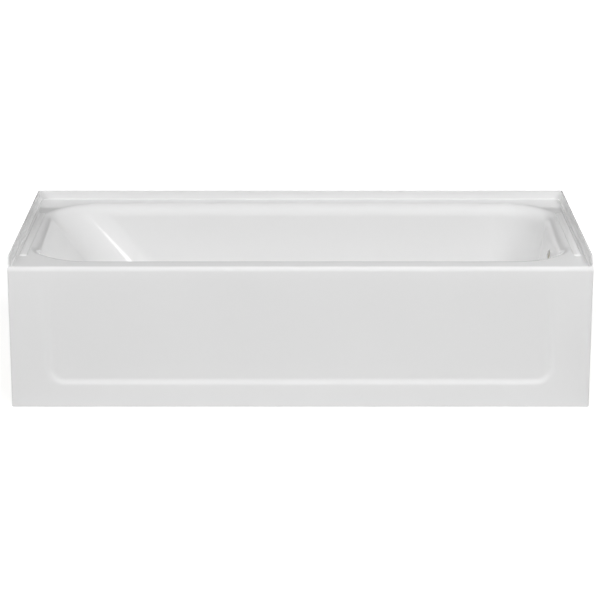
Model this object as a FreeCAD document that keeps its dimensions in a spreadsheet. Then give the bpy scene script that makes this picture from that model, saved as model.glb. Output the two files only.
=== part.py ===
"""Alcove bathtub with an integral apron: acrylic shell, glass-fibre backing and levelling feet.

Row frame, in millimetres: X runs along the tub, +X towards the drain end (the right-hand end
for someone who stands at the apron); -Y is the apron, +Y the long wall of the alcove; +Z is up.
The origin is on the bathroom floor, under the middle of the tub.
"""

import FreeCAD, Part
import math
import os
import Sketcher

from FreeCAD import Placement, Rotation, Vector

# Every size that can be set by itself, with what it measures.
DRIVING_SIZES = [
    ("tub_length", 1524.0, "overall length, wall to wall of the alcove"),
    ("tub_width", 762.0, "apron face to the back of the tiling flange"),
    ("deck_height", 381.0, "floor to the flat deck round the basin"),
    ("flange_height", 25.4, "tiling flange above the deck"),
    ("flange_wall", 4.0, "thickness of the tiling flange"),
    ("flange_corner", 10.0, "inner upright corner of the flange"),
    ("flange_root", 4.0, "concave radius between deck and flange"),
    ("flange_gap", 1.5, "start of the front roll to the foot of a side flange"),
    ("flange_end_lean", 18.0, "lean of the flange's front end, degrees"),
    ("flange_end_round", 9.0, "rounding at the top of the flange's front end"),
    ("acrylic", 4.0, "thickness of the acrylic skin"),
    ("laminate", 4.0, "thickness of the glass-fibre backing"),
    ("apron_backing", 3.0, "thickness of the glass-fibre behind the apron"),
    ("front_roll", 12.7, "outer radius of the roll between deck and apron"),
    ("lip_depth", 26.0, "deck to the lower edge of the turned-down front lip"),
    ("front_deck", 55.0, "apron face to the start of the basin roll"),
    ("back_deck", 47.0, "back of the tub to the start of the basin roll"),
    ("end_deck", 35.0, "each end of the tub to the start of the basin roll"),
    ("rim_roll", 36.0, "radius of the roll from the deck into the basin"),
    ("rim_corner", 138.0, "upright corners of the basin at the deck"),
    ("side_draft", 6.0, "long walls, degrees from upright"),
    ("drain_draft", 8.5, "drain-end wall, degrees from upright"),
    ("head_slope", 40.0, "backrest, degrees from upright"),
    ("floor_height", 90.0, "height of the basin floor at the middle of the tub"),
    ("floor_fall_angle", 0.6, "fall of the basin floor to the drain, degrees"),
    ("floor_round", 65.0, "radius between basin floor and walls"),
    ("foot_corner", 118.0, "upright corners of the basin floor at the drain end"),
    ("head_corner", 175.0, "upright corners of the basin floor at the head end"),
    ("drain_inset", 217.0, "drain centre from the drain end of the tub"),
    ("drain_radius", 25.4, "waste hole"),
    ("dish_radius", 41.0, "recess that the waste flange seats in"),
    ("dish_depth", 4.0, "depth of the waste recess"),
    ("overflow_height", 300.0, "floor to the middle of the overflow hole"),
    ("overflow_radius", 27.0, "overflow hole"),
    ("strip_width", 26.0, "raised strip on each end deck"),
    ("strip_height", 3.5, "raised strip above the deck"),
    ("strip_edge", 2.0, "rounding of the raised strip"),
    ("strip_gap", 12.0, "raised strip to the end of the tub"),
    ("strip_front", 118.0, "apron face to the front end of the strip"),
    ("strip_length", 474.0, "length of the raised strip"),
    ("panel_margin", 92.0, "end of the apron to the recessed panel"),
    ("panel_foot", 59.5, "floor to the lower edge of the ledge"),
    ("panel_depth", 8.0, "depth of the recessed panel above the ledge"),
    ("ledge_rise", 16.0, "height that the ledge slopes through"),
    ("panel_side_run", 22.0, "width that the panel's side slopes through"),
    ("panel_corner", 50.0, "lower corners of the recessed panel"),
    ("apron_return", 25.0, "depth of the apron's turned ends"),
    ("batten_height", 25.0, "timber under the deck, upright"),
    ("batten_width", 28.0, "timber under the front and back deck, across"),
    ("batten_clear", 8.0, "front and back timber to the basin roll"),
    ("end_batten_width", 24.0, "timber under the end decks, across"),
    ("rail_width", 24.0, "timber along the foot of the apron, across"),
    ("rail_height", 40.0, "timber along the foot of the apron, upright"),
    ("rail_inset", 40.0, "end of the tub to the end of that timber"),
    ("rib_width", 40.0, "upright timber behind the apron, along the tub"),
    ("rib_depth", 18.0, "upright timber behind the apron, front to back"),
    ("rib_gap", 42.0, "apron bracket to the upright beyond it"),
    ("board", 15.0, "thickness of the base board"),
    ("board_clear", 12.0, "edge of the base board to the rounding of the basin floor"),
    ("notch_width", 140.0, "opening in the base board round the waste"),
    ("notch_length", 120.0, "opening in the base board, along the tub"),
    ("bar_width", 40.0, "leg bar, along the tub"),
    ("bar_height", 20.0, "leg bar, upright"),
    ("bar_wall", 2.0, "leg bar, steel thickness"),
    ("bar_end", 38.0, "foot centre to the end of the leg bar"),
    ("bar_gap", 20.0, "apron rail to the front end of a leg bar"),
    ("head_bar_inset", 124.0, "head end of the base board to the middle of its leg bar"),
    ("drain_bar_inset", 185.0, "drain end of the base board to the middle of its leg bar"),
    ("stud_radius", 5.0, "levelling stud"),
    ("thread_clearance", 0.05, "nut bore over the stud, on the radius"),
    ("hole_clearance", 0.6, "hole in the leg bar over the stud, on the radius"),
    ("stud_spare", 14.0, "stud above the upper nut"),
    ("nut_height", 8.0, "lock nut"),
    ("nut_flats", 17.0, "lock nut across its flats"),
    ("pad_radius", 24.0, "moulded pad under the stud"),
    ("pad_height", 7.0, "flat part of the pad"),
    ("pad_boss_radius", 10.5, "socket of the pad round the stud"),
    ("pad_boss_height", 10.0, "socket above the flat part"),
    ("socket_depth", 9.0, "stud held in the pad"),
    ("bracket_width", 36.0, "apron bracket, along the tub"),
    ("bracket_wall", 2.5, "apron bracket, steel thickness"),
    ("bracket_lap", 18.0, "apron bracket resting on the leg bar"),
    ("bracket_drop", 30.0, "apron bracket down the back of the apron rail"),
]

doc = FreeCAD.newDocument("alcove_bathtub")
sheet = doc.addObject("Spreadsheet::Sheet", "Dimensions")


class Size:
    """A length or angle that knows both its value and the cells it is worked out from."""

    def __init__(self, value, text):
        self.value = value
        self.text = text

    def __add__(self, other):
        other = as_size(other)
        return Size(self.value + other.value, f"({self.text} + {other.text})")

    def __sub__(self, other):
        other = as_size(other)
        return Size(self.value - other.value, f"({self.text} - {other.text})")

    def __mul__(self, other):
        other = as_size(other)
        return Size(self.value * other.value, f"({self.text} * {other.text})")

    def __truediv__(self, other):
        other = as_size(other)
        return Size(self.value / other.value, f"({self.text} / {other.text})")

    def __neg__(self):
        return Size(-self.value, f"(0 - {self.text})")


def as_size(number):
    """A plain number as a Size, and a Size as itself."""
    if isinstance(number, Size):
        return number
    return Size(float(number), repr(float(number)))


def tangent(angle):
    """The tangent of an angle in degrees."""
    return Size(math.tan(math.radians(angle.value)), f"tan({angle.text})")


def cosine(angle):
    """The cosine of an angle in degrees."""
    return Size(math.cos(math.radians(angle.value)), f"cos({angle.text})")


def sine(angle):
    """The sine of an angle in degrees."""
    return Size(math.sin(math.radians(angle.value)), f"sin({angle.text})")


def angle_of(rise, run):
    """The angle in degrees of a slope that rises by one size over another."""
    value = math.degrees(math.atan2(rise.value, run.value))
    return Size(value, f"atan({rise.text} / {run.text})")


def fill_sheet():
    """Write each driving size into the sheet and return them by name."""
    sizes = {}
    for row, (name, value, note) in enumerate(DRIVING_SIZES, start=1):
        sheet.set(f"A{row}", note)
        sheet.set(f"B{row}", str(value))
        sheet.setAlias(f"B{row}", name)
        sizes[name] = Size(value, f"Dimensions.{name}")
    return sizes


S = fill_sheet()
doc.recompute()

# Places that several pieces share, all worked out from the driving sizes.
HALF_LENGTH = S["tub_length"] / 2
HALF_WIDTH = S["tub_width"] / 2
DECK = S["deck_height"]
FLANGE_TOP = DECK + S["flange_height"]
BASIN_DEPTH = DECK - S["floor_height"]
DRAIN_X = HALF_LENGTH - S["drain_inset"]
LIP_FOOT = DECK - S["lip_depth"]
SHELL_STACK = S["acrylic"] + S["laminate"]
APRON_STACK = S["acrylic"] + S["apron_backing"]
RIGHT_ANGLE = as_size(90)
HALF_TURN = as_size(180)
HEXAGON_SIDES = 6
# How far a cutter runs past what it cuts.
OVERRUN = as_size(1)
# Two places closer than this are the same place.
TOUCH = 0.01
# A slab that has to pass the outline of the tub reaches this many times as far out.
PAST_OUTLINE = as_size(1.2)


def corner_shift(draft):
    """How far a wall's edge moves out for each millimetre that its surface is offset."""
    return tangent((RIGHT_ANGLE - draft) / 2)


# The sharp upper edge that the basin would have without its roll.
RIM_HEAD = -(HALF_LENGTH - S["end_deck"]) + S["rim_roll"] * corner_shift(S["head_slope"])
RIM_DRAIN = HALF_LENGTH - S["end_deck"] - S["rim_roll"] * corner_shift(S["drain_draft"])
RIM_FRONT = -(HALF_WIDTH - S["front_deck"]) + S["rim_roll"] * corner_shift(S["side_draft"])
RIM_BACK = HALF_WIDTH - S["back_deck"] - S["rim_roll"] * corner_shift(S["side_draft"])
BASIN_Y = (RIM_FRONT + RIM_BACK) / 2

# The front end of a side flange: where it leaves the deck and where it reaches its top.
FLANGE_FOOT = -HALF_WIDTH + S["front_roll"] + S["flange_gap"]
FLANGE_TIP = FLANGE_FOOT + tangent(S["flange_end_lean"]) * S["flange_height"]


def floor_level(x):
    """Height of the basin floor at a place along the tub."""
    return S["floor_height"] - x * tangent(S["floor_fall_angle"])


def level_floor_inset(slope):
    """From the sharp rim over a wall of a slope to where the floor under it is flat."""
    return BASIN_DEPTH * tangent(slope) + S["floor_round"] * corner_shift(slope)


# ---------------------------------------------------------------- helpers


def bind(item, **properties):
    """Bind properties of a document object to sizes of the sheet."""
    for name, size in properties.items():
        item.setExpression(name, as_size(size).text)


def place(item, x, y, z):
    """Bind the position of a document object to sizes of the sheet."""
    for axis, size in zip("xyz", (x, y, z)):
        item.setExpression(f"Placement.Base.{axis}", as_size(size).text)


def box(name, low, high):
    """A box between two corners, each given as three sizes."""
    item = doc.addObject("Part::Box", name)
    low = [as_size(value) for value in low]
    high = [as_size(value) for value in high]
    bind(item, Length=high[0] - low[0], Width=high[1] - low[1], Height=high[2] - low[2])
    place(item, *low)
    return item


def rod(name, base, radius, height, axis=Vector(0, 0, 1)):
    """A cylinder that starts at base and runs along axis."""
    item = doc.addObject("Part::Cylinder", name)
    item.Placement = Placement(Vector(0, 0, 0), Rotation(Vector(0, 0, 1), axis))
    bind(item, Radius=radius, Height=height)
    place(item, *base)
    return item


def cut(name, base, tool):
    """What is left of base without tool."""
    item = doc.addObject("Part::Cut", name)
    item.Base = base
    item.Tool = tool
    return item


def join(name, *pieces):
    """Several touching solids made one."""
    item = doc.addObject("Part::MultiFuse", name)
    item.Shapes = list(pieces)
    item.Refine = True
    return item


def overlap(name, *pieces):
    """What several solids have in common."""
    item = doc.addObject("Part::MultiCommon", name)
    item.Shapes = list(pieces)
    return item


def group(name, pieces):
    """Separate solids kept in one sub-part."""
    item = doc.addObject("Part::Compound", name)
    item.Links = list(pieces)
    return item


def round_edges(name, base, radius, wanted):
    """Fillet the edges of base that the test picks."""
    doc.recompute()
    numbers = [i for i, edge in enumerate(base.Shape.Edges, start=1) if wanted(edge)]
    item = doc.addObject("Part::Fillet", name)
    item.Base = base
    item.Edges = [(number, radius.value, radius.value) for number in numbers]
    return item


def middle(edge):
    """The point halfway along an edge."""
    return edge.valueAt((edge.FirstParameter + edge.LastParameter) / 2)


def level(edge, height):
    """Whether an edge lies flat at a height."""
    bounds = edge.BoundBox
    return abs(bounds.ZMin - height) < TOUCH and abs(bounds.ZMax - height) < TOUCH


def origin_plane(body, role):
    """One of the origin planes of a body, such as XY_Plane."""
    return [item for item in body.Origin.OriginFeatures if item.Role == role][0]


def new_sketch(body, name, role, offset, tilt=0.0):
    """A sketch on an origin plane of its own body, moved along the plane's normal."""
    sketch = body.newObject("Sketcher::SketchObject", name)
    sketch.AttachmentSupport = (origin_plane(body, role), [""])
    sketch.MapMode = "FlatFace"
    sketch.AttachmentOffset = Placement(Vector(0, 0, 0), Rotation(Vector(0, 1, 0), tilt))
    sketch.setExpression("AttachmentOffset.Base.z", as_size(offset).text)
    return sketch


def dimension(sketch, kind, name, size, *place_in_sketch):
    """Add a dimension to a sketch and bind it to the sheet."""
    index = sketch.addConstraint(Sketcher.Constraint(kind, *place_in_sketch, size.value))
    sketch.renameConstraint(index, name)
    sketch.setExpression(f"Constraints.{name}", size.text)


def rounded_rectangle(sketch, low, high, low_radius, high_radius):
    """Draw a rectangle whose corners have one radius at its low end and one at its high end."""
    x0, y0 = low[0].value, low[1].value
    x1, y1 = high[0].value, high[1].value
    r0, r1 = low_radius.value, high_radius.value
    up = Vector(0, 0, 1)
    quarter = math.pi / 2

    def line(start, end):
        return Part.LineSegment(Vector(*start, 0), Vector(*end, 0))

    def arc(centre, radius, turn):
        circle = Part.Circle(Vector(*centre, 0), up, radius)
        return Part.ArcOfCircle(circle, turn * quarter, (turn + 1) * quarter)

    sketch.addGeometry([
        line((x0 + r0, y0), (x1 - r1, y0)),
        arc((x1 - r1, y0 + r1), r1, 3),
        line((x1, y0 + r1), (x1, y1 - r1)),
        arc((x1 - r1, y1 - r1), r1, 0),
        line((x1 - r1, y1), (x0 + r0, y1)),
        arc((x0 + r0, y1 - r0), r0, 1),
        line((x0, y1 - r0), (x0, y0 + r0)),
        arc((x0 + r0, y0 + r0), r0, 2),
    ], False)
    for index in range(8):
        sketch.addConstraint(Sketcher.Constraint("Tangent", index, 2, (index + 1) % 8, 1))
    for index in (0, 4):
        sketch.addConstraint(Sketcher.Constraint("Horizontal", index))
    for index in (2, 6):
        sketch.addConstraint(Sketcher.Constraint("Vertical", index))
    dimension(sketch, "DistanceX", "low_x", -low[0], 6, 1, -1, 1)
    dimension(sketch, "DistanceX", "high_x", high[0], -1, 1, 2, 1)
    dimension(sketch, "DistanceY", "low_y", -low[1], 0, 1, -1, 1)
    dimension(sketch, "DistanceY", "high_y", high[1], -1, 1, 4, 1)
    for index, radius in ((1, high_radius), (3, high_radius), (5, low_radius), (7, low_radius)):
        dimension(sketch, "Radius", f"radius_{index}", radius, index)


def polygon(sketch, points):
    """Draw a closed polygon whose corners are bound to the sheet."""
    values = [(as_size(u), as_size(v)) for u, v in points]
    count = len(values)
    for index, (u, v) in enumerate(values):
        next_u, next_v = values[(index + 1) % count]
        start = Vector(u.value, v.value, 0)
        end = Vector(next_u.value, next_v.value, 0)
        sketch.addGeometry(Part.LineSegment(start, end), False)
    for index, (u, v) in enumerate(values):
        sketch.addConstraint(Sketcher.Constraint("Coincident", index, 2, (index + 1) % count, 1))
        corner_dimension(sketch, "DistanceX", f"u_{index}", u, index)
        corner_dimension(sketch, "DistanceY", f"v_{index}", v, index)


def corner_dimension(sketch, kind, name, size, index):
    """Bind one coordinate of a polygon's corner, measured from the sketch's origin."""
    if size.value >= 0:
        dimension(sketch, kind, name, size, -1, 1, index, 1)
    else:
        dimension(sketch, kind, name, -size, index, 1, -1, 1)


def pad(body, name, sketch, length, both_ways=False):
    """Extrude a sketch of a body."""
    item = body.newObject("PartDesign::Pad", name)
    item.Profile = sketch
    item.Midplane = both_ways
    item.setExpression("Length", as_size(length).text)
    return item


def fillet(body, name, radius, wanted):
    """Round the edges of a body's last feature that the test picks."""
    doc.recompute()
    base = body.Tip
    names = [f"Edge{i}" for i, edge in enumerate(base.Shape.Edges, start=1) if wanted(edge)]
    item = body.newObject("PartDesign::Fillet", name)
    item.Base = (base, names)
    item.setExpression("Radius", radius.text)
    return item


# ---------------------------------------------------------------- basin forms


def basin_form(name, offset, side_wall, upright_corner, height):
    """The space above the shell's surface, after that surface has moved down by offset.

    The form is a slab over the deck with the basin hanging below it. Two forms with different
    offsets bound one layer of the shell, so neighbouring layers meet face to face.
    """
    body = doc.addObject("PartDesign::Body", name)
    surface = DECK - offset
    slab = new_sketch(body, f"{name}_slab", "XY_Plane", surface)
    inner_x = HALF_LENGTH - side_wall
    # The slab runs out past the apron, where the deck has no flange.
    rounded_rectangle(slab, (-inner_x, -(HALF_WIDTH * PAST_OUTLINE)),
                      (inner_x, HALF_WIDTH - side_wall), upright_corner, upright_corner)
    pad(body, f"{name}_deck", slab, height + offset)

    out_head = offset * corner_shift(S["head_slope"])
    out_drain = offset * corner_shift(S["drain_draft"])
    out_side = offset * corner_shift(S["side_draft"])
    rim = new_sketch(body, f"{name}_rim", "XY_Plane", surface)
    low = (RIM_HEAD - out_head, RIM_FRONT - out_side)
    high = (RIM_DRAIN + out_drain, RIM_BACK + out_side)
    corner = S["rim_corner"] + out_side
    rounded_rectangle(rim, low, high, corner, corner)

    floor = new_sketch(body, f"{name}_floor", "XY_Plane", S["floor_height"] - offset,
                       S["floor_fall_angle"].value)
    floor.setExpression("AttachmentOffset.Rotation.Angle", S["floor_fall_angle"].text)
    head_run = BASIN_DEPTH * tangent(S["head_slope"])
    drain_run = BASIN_DEPTH * tangent(S["drain_draft"])
    side_run = BASIN_DEPTH * tangent(S["side_draft"])
    rounded_rectangle(floor, (low[0] + head_run, low[1] + side_run),
                      (high[0] - drain_run, high[1] - side_run),
                      S["head_corner"] + out_side, S["foot_corner"] + out_side)
    bowl = body.newObject("PartDesign::AdditiveLoft", f"{name}_bowl")
    bowl.Profile = rim
    bowl.Sections = [floor]
    bowl.Ruled = True
    doc.recompute()

    def on_rim(edge):
        point = middle(edge)
        inside = low[0].value - 1 < point.x < high[0].value + 1
        inside = inside and low[1].value - 1 < point.y < high[1].value + 1
        return level(edge, surface.value) and inside

    def on_floor(edge):
        point = middle(edge)
        fall = math.tan(math.radians(S["floor_fall_angle"].value))
        plane = S["floor_height"].value - offset.value - point.x * fall
        return abs(point.z - plane) < TOUCH

    fillet(body, f"{name}_rim_roll", S["rim_roll"] - offset, on_rim)
    fillet(body, f"{name}_floor_round", S["floor_round"] + offset, on_floor)
    doc.recompute()
    return body


def waste_recess(name, offset):
    """The level recess round the waste hole, after its surface has moved out by offset."""
    top = floor_level(DRAIN_X)
    bottom = top - S["dish_depth"] - offset
    return rod(name, (DRAIN_X, BASIN_Y, bottom), S["dish_radius"] + offset,
               S["dish_depth"] + offset + S["dish_depth"])


inner_body = basin_form("inner_form", as_size(0), S["flange_wall"], S["flange_corner"],
                        S["flange_height"] * 2)
skin_body = basin_form("skin_form", S["acrylic"], as_size(0),
                       S["flange_corner"] + S["flange_wall"], S["flange_height"])
backing_body = basin_form("backing_form", SHELL_STACK, as_size(0),
                          S["flange_corner"] + S["flange_wall"], S["flange_height"])


def at_flange_root(edge):
    """Whether an edge runs between the deck and the tiling flange."""
    point = middle(edge)
    beside = abs(point.x) > HALF_LENGTH.value - S["end_deck"].value
    behind = point.y > HALF_WIDTH.value - S["flange_wall"].value - S["flange_corner"].value
    return level(edge, DECK.value) and (beside or behind)


fillet(inner_body, "inner_form_flange_root", S["flange_root"], at_flange_root)
inner_form = join("inner_space", inner_body, waste_recess("inner_recess", as_size(0)))
skin_form = join("skin_space", skin_body, waste_recess("skin_recess", S["acrylic"]))
backing_form = join("backing_space", backing_body, waste_recess("backing_recess", SHELL_STACK))
doc.recompute()

# ---------------------------------------------------------------- holes of the basin


def overflow_hole(name):
    """A cutter square to the drain-end wall, through every layer of it."""
    slope = S["drain_draft"]
    wall_x = RIM_DRAIN - (DECK - S["overflow_height"]) * tangent(slope)
    reach = SHELL_STACK * 3
    outward = Vector(math.cos(math.radians(slope.value)), 0, -math.sin(math.radians(slope.value)))
    start = (wall_x - reach * cosine(slope), BASIN_Y, S["overflow_height"] + reach * sine(slope))
    return rod(name, start, S["overflow_radius"], reach * 2, outward)


def waste_hole(name):
    """A cutter straight down through the waste recess."""
    bottom = floor_level(DRAIN_X) - S["dish_depth"] - SHELL_STACK * 2
    return rod(name, (DRAIN_X, BASIN_Y, bottom), S["drain_radius"], SHELL_STACK * 4)


# ---------------------------------------------------------------- acrylic shell


def end_strip(name, side):
    """The raised strip on one end deck, with round ends."""
    body = doc.addObject("PartDesign::Body", name)
    sink = S["acrylic"] / 4
    sketch = new_sketch(body, f"{name}_outline", "XY_Plane", DECK - sink)
    outer = HALF_LENGTH - S["strip_gap"]
    inner = outer - S["strip_width"]
    front = -(HALF_WIDTH - S["strip_front"])
    back = front + S["strip_length"]
    low_x, high_x = (inner, outer) if side > 0 else (-outer, -inner)
    slot(sketch, low_x, high_x, front, back)
    pad(body, f"{name}_pad", sketch, S["strip_height"] + sink)
    top = DECK.value + S["strip_height"].value
    fillet(body, f"{name}_edge", S["strip_edge"], lambda edge: level(edge, top))
    doc.recompute()
    return body


def slot(sketch, low_x, high_x, low_y, high_y):
    """Draw an upright slot with half-round ends."""
    middle_x = (low_x + high_x) / 2
    half = (high_x - low_x) / 2
    x = middle_x.value
    r = half.value
    y0, y1 = low_y.value + r, high_y.value - r
    up = Vector(0, 0, 1)
    sketch.addGeometry([
        Part.LineSegment(Vector(x + r, y0, 0), Vector(x + r, y1, 0)),
        Part.ArcOfCircle(Part.Circle(Vector(x, y1, 0), up, r), 0, math.pi),
        Part.LineSegment(Vector(x - r, y1, 0), Vector(x - r, y0, 0)),
        Part.ArcOfCircle(Part.Circle(Vector(x, y0, 0), up, r), math.pi, 2 * math.pi),
    ], False)
    for index in range(4):
        sketch.addConstraint(Sketcher.Constraint("Tangent", index, 2, (index + 1) % 4, 1))
    sketch.addConstraint(Sketcher.Constraint("Vertical", 0))
    dimension(sketch, "Radius", "half_width", half, 1)
    for kind, name, value, index in (("DistanceX", "middle_x", middle_x, 1),
                                     ("DistanceY", "upper_y", high_y - half, 1),
                                     ("DistanceY", "lower_y", low_y + half, 3)):
        order = (-1, 1, index, 3) if value.value >= 0 else (index, 3, -1, 1)
        dimension(sketch, kind, name, value if value.value >= 0 else -value, *order)


def front_lip_block():
    """The solid that the front roll and the turned-down lip are cut from."""
    depth = S["front_deck"] / 2
    return box("lip_block", (-HALF_LENGTH, -HALF_WIDTH, LIP_FOOT),
               (HALF_LENGTH, -HALF_WIDTH + depth, DECK))


def behind_lip():
    """The space behind the turned-down lip, with the inside of the roll."""
    depth = S["front_deck"] / 2
    wall = S["acrylic"]
    front = -HALF_WIDTH + wall
    top = DECK - wall
    space = box("behind_lip_box", (-HALF_LENGTH * PAST_OUTLINE, front, LIP_FOOT - wall),
                (HALF_LENGTH * PAST_OUTLINE, -HALF_WIDTH + depth + OVERRUN, top))

    def along_front_top(edge):
        point = middle(edge)
        at_top = level(edge, top.value)
        return at_top and abs(point.y - front.value) < TOUCH

    return round_edges("behind_lip_space", space, S["front_roll"] - wall, along_front_top)


def flange_end_notch():
    """What is cut from the front end of both side flanges: a leaning face with a round top."""
    lean = FLANGE_TIP - FLANGE_FOOT
    rise = S["flange_height"]
    body = doc.addObject("PartDesign::Body", "flange_notch")
    sketch = new_sketch(body, "flange_notch_outline", "YZ_Plane", 0)
    polygon(sketch, [
        (FLANGE_FOOT, DECK),
        (FLANGE_TIP, FLANGE_TOP),
        (FLANGE_TIP + lean, FLANGE_TOP + rise),
        (-(HALF_WIDTH * PAST_OUTLINE), FLANGE_TOP + rise),
        (-(HALF_WIDTH * PAST_OUTLINE), DECK),
    ])
    pad(body, "flange_notch_pad", sketch, S["tub_length"] * PAST_OUTLINE, both_ways=True)
    return body


def make_shell():
    """The acrylic skin: basin, deck, tiling flange, front roll and the raised strips."""
    footprint = box("footprint", (-HALF_LENGTH, -HALF_WIDTH, 0),
                    (HALF_LENGTH, HALF_WIDTH, FLANGE_TOP))
    outside = join("shell_outside", skin_form, front_lip_block())
    outside = overlap("shell_block", outside, footprint)
    hollow = cut("shell_hollow", outside, inner_form)
    notched = cut("shell_notched", hollow, flange_end_notch())

    def front_edge(edge):
        point = middle(edge)
        return level(edge, DECK.value) and abs(point.y + HALF_WIDTH.value) < TOUCH

    def flange_front_top(edge):
        point = middle(edge)
        across = abs(edge.Vertexes[0].Y - edge.Vertexes[-1].Y) < TOUCH
        forward = abs(point.y - FLANGE_TIP.value) < TOUCH
        return level(edge, FLANGE_TOP.value) and across and forward

    rolled = round_edges("shell_rolled", notched, S["front_roll"], front_edge)
    eased = round_edges("shell_eased", rolled, S["flange_end_round"], flange_front_top)
    skin = cut("shell_skin", eased, behind_lip())
    striped = join("shell_striped", skin, end_strip("strip_head", -1), end_strip("strip_drain", 1))
    drained = cut("shell_drained", striped, waste_hole("shell_waste"))
    return cut("tub_shell", drained, overflow_hole("shell_overflow"))


def make_laminate():
    """The glass-fibre laid up under the basin and the deck, inside the front lip."""
    edge = S["acrylic"] / 2
    back_of_lip = -HALF_WIDTH + S["front_roll"]
    footprint = box("laminate_footprint", (-HALF_LENGTH + edge, back_of_lip, 0),
                    (HALF_LENGTH - edge, HALF_WIDTH - edge, DECK))
    outside = overlap("laminate_outside", backing_form, footprint)
    layer = cut("laminate_layer", outside, skin_form)
    drained = cut("laminate_drained", layer, waste_hole("laminate_waste"))
    return cut("basin_laminate", drained, overflow_hole("laminate_overflow"))


# ---------------------------------------------------------------- places along the tub

BOARD_HEAD = RIM_HEAD + level_floor_inset(S["head_slope"]) + S["board_clear"]
BOARD_DRAIN = RIM_DRAIN - level_floor_inset(S["drain_draft"]) - S["board_clear"]
LEG_BARS = {"head": BOARD_HEAD + S["head_bar_inset"], "drain": BOARD_DRAIN - S["drain_bar_inset"]}
RIB_REACH = S["bracket_width"] / 2 + S["rib_gap"] + S["rib_width"] / 2
RIBS = [LEG_BARS["head"] - RIB_REACH, (LEG_BARS["head"] + LEG_BARS["drain"]) / 2,
        LEG_BARS["drain"] + RIB_REACH]

# ---------------------------------------------------------------- apron


# Share of its depth by which the cutter of the recessed panel passes its face and its bed.
PANEL_OVERRUN = 0.5


def panel_recess(name, offset):
    """The space in front of the recessed panel, after its surface has moved back by offset."""
    depth = S["panel_depth"]
    side_tilt = angle_of(depth, S["panel_side_run"])
    ledge_tilt = angle_of(depth, S["ledge_rise"])
    grow_side = offset * tangent(side_tilt / 2)
    grow_foot = offset * tangent(ledge_tilt / 2)
    head_room = S["lip_depth"] * 2
    body = doc.addObject("PartDesign::Body", name)
    outlines = []
    # The loft starts in front of the face and ends behind the bed, so both cut it cleanly.
    for part, share in (("mouth", -PANEL_OVERRUN), ("bed", 1 + PANEL_OVERRUN)):
        inset = S["panel_side_run"] * share
        lift = S["ledge_rise"] * share
        level_y = -HALF_WIDTH + offset + depth * share
        outline = new_sketch(body, f"{name}_{part}", "XZ_Plane", -level_y)
        half = HALF_LENGTH - S["panel_margin"] + grow_side - inset
        corner = S["panel_corner"] + grow_side - inset
        rounded_rectangle_up(outline, -half, half, S["panel_foot"] - grow_foot + lift,
                             DECK + head_room, corner)
        outlines.append(outline)
    loft = body.newObject("PartDesign::AdditiveLoft", f"{name}_loft")
    loft.Profile = outlines[0]
    loft.Sections = [outlines[1]]
    loft.Ruled = True
    doc.recompute()

    # The bed of the recess leans: no depth at the lip, full depth above the ledge.
    wedge = doc.addObject("PartDesign::Body", f"{name}_wedge")
    side = new_sketch(wedge, f"{name}_lean", "YZ_Plane", 0)
    face = -HALF_WIDTH + offset
    bed_foot = S["panel_foot"] + S["ledge_rise"]
    polygon(side, [
        (face, LIP_FOOT),
        (face + depth, bed_foot),
        (face + depth, S["panel_foot"] / 2),
        (face - depth * 2, S["panel_foot"] / 2),
        (face - depth * 2, LIP_FOOT),
    ])
    pad(wedge, f"{name}_lean_pad", side, S["tub_length"], both_ways=True)
    return overlap(f"{name}_space", body, wedge)


def rounded_rectangle_up(sketch, low_x, high_x, low_z, high_z, radius):
    """Draw a rectangle on the XZ plane with its two lower corners rounded."""
    x0, x1 = low_x.value, high_x.value
    z0, z1 = low_z.value, high_z.value
    r = radius.value
    up = Vector(0, 0, 1)
    quarter = math.pi / 2
    sketch.addGeometry([
        Part.LineSegment(Vector(x0 + r, z0, 0), Vector(x1 - r, z0, 0)),
        Part.ArcOfCircle(Part.Circle(Vector(x1 - r, z0 + r, 0), up, r), -quarter, 0),
        Part.LineSegment(Vector(x1, z0 + r, 0), Vector(x1, z1, 0)),
        Part.LineSegment(Vector(x1, z1, 0), Vector(x0, z1, 0)),
        Part.LineSegment(Vector(x0, z1, 0), Vector(x0, z0 + r, 0)),
        Part.ArcOfCircle(Part.Circle(Vector(x0 + r, z0 + r, 0), up, r), math.pi, 3 * quarter),
    ], False)
    for first, second in ((0, 1), (1, 2), (4, 5), (5, 0)):
        sketch.addConstraint(Sketcher.Constraint("Tangent", first, 2, second, 1))
    for first, second in ((2, 3), (3, 4)):
        sketch.addConstraint(Sketcher.Constraint("Coincident", first, 2, second, 1))
    sketch.addConstraint(Sketcher.Constraint("Horizontal", 0))
    sketch.addConstraint(Sketcher.Constraint("Horizontal", 3))
    sketch.addConstraint(Sketcher.Constraint("Vertical", 2))
    sketch.addConstraint(Sketcher.Constraint("Vertical", 4))
    dimension(sketch, "DistanceX", "low_x", -low_x, 4, 1, -1, 1)
    dimension(sketch, "DistanceX", "high_x", high_x, -1, 1, 2, 1)
    dimension(sketch, "DistanceY", "low_z", low_z, -1, 1, 0, 1)
    dimension(sketch, "DistanceY", "high_z", high_z, -1, 1, 3, 1)
    dimension(sketch, "Radius", "right_corner", radius, 1)
    dimension(sketch, "Radius", "left_corner", radius, 5)


def behind_apron(name, offset):
    """The space behind the apron, after the apron's surface has moved back by offset."""
    space = box(f"{name}_box", (-HALF_LENGTH + offset, -HALF_WIDTH + offset, -offset),
                (HALF_LENGTH - offset, -HALF_WIDTH + S["apron_return"] * 2, LIP_FOOT + offset))
    return cut(f"{name}_space", space, panel_recess(f"{name}_recess", offset))


skin_back = behind_apron("skin_back", S["acrylic"])
backing_back = behind_apron("backing_back", APRON_STACK)
doc.recompute()


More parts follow.
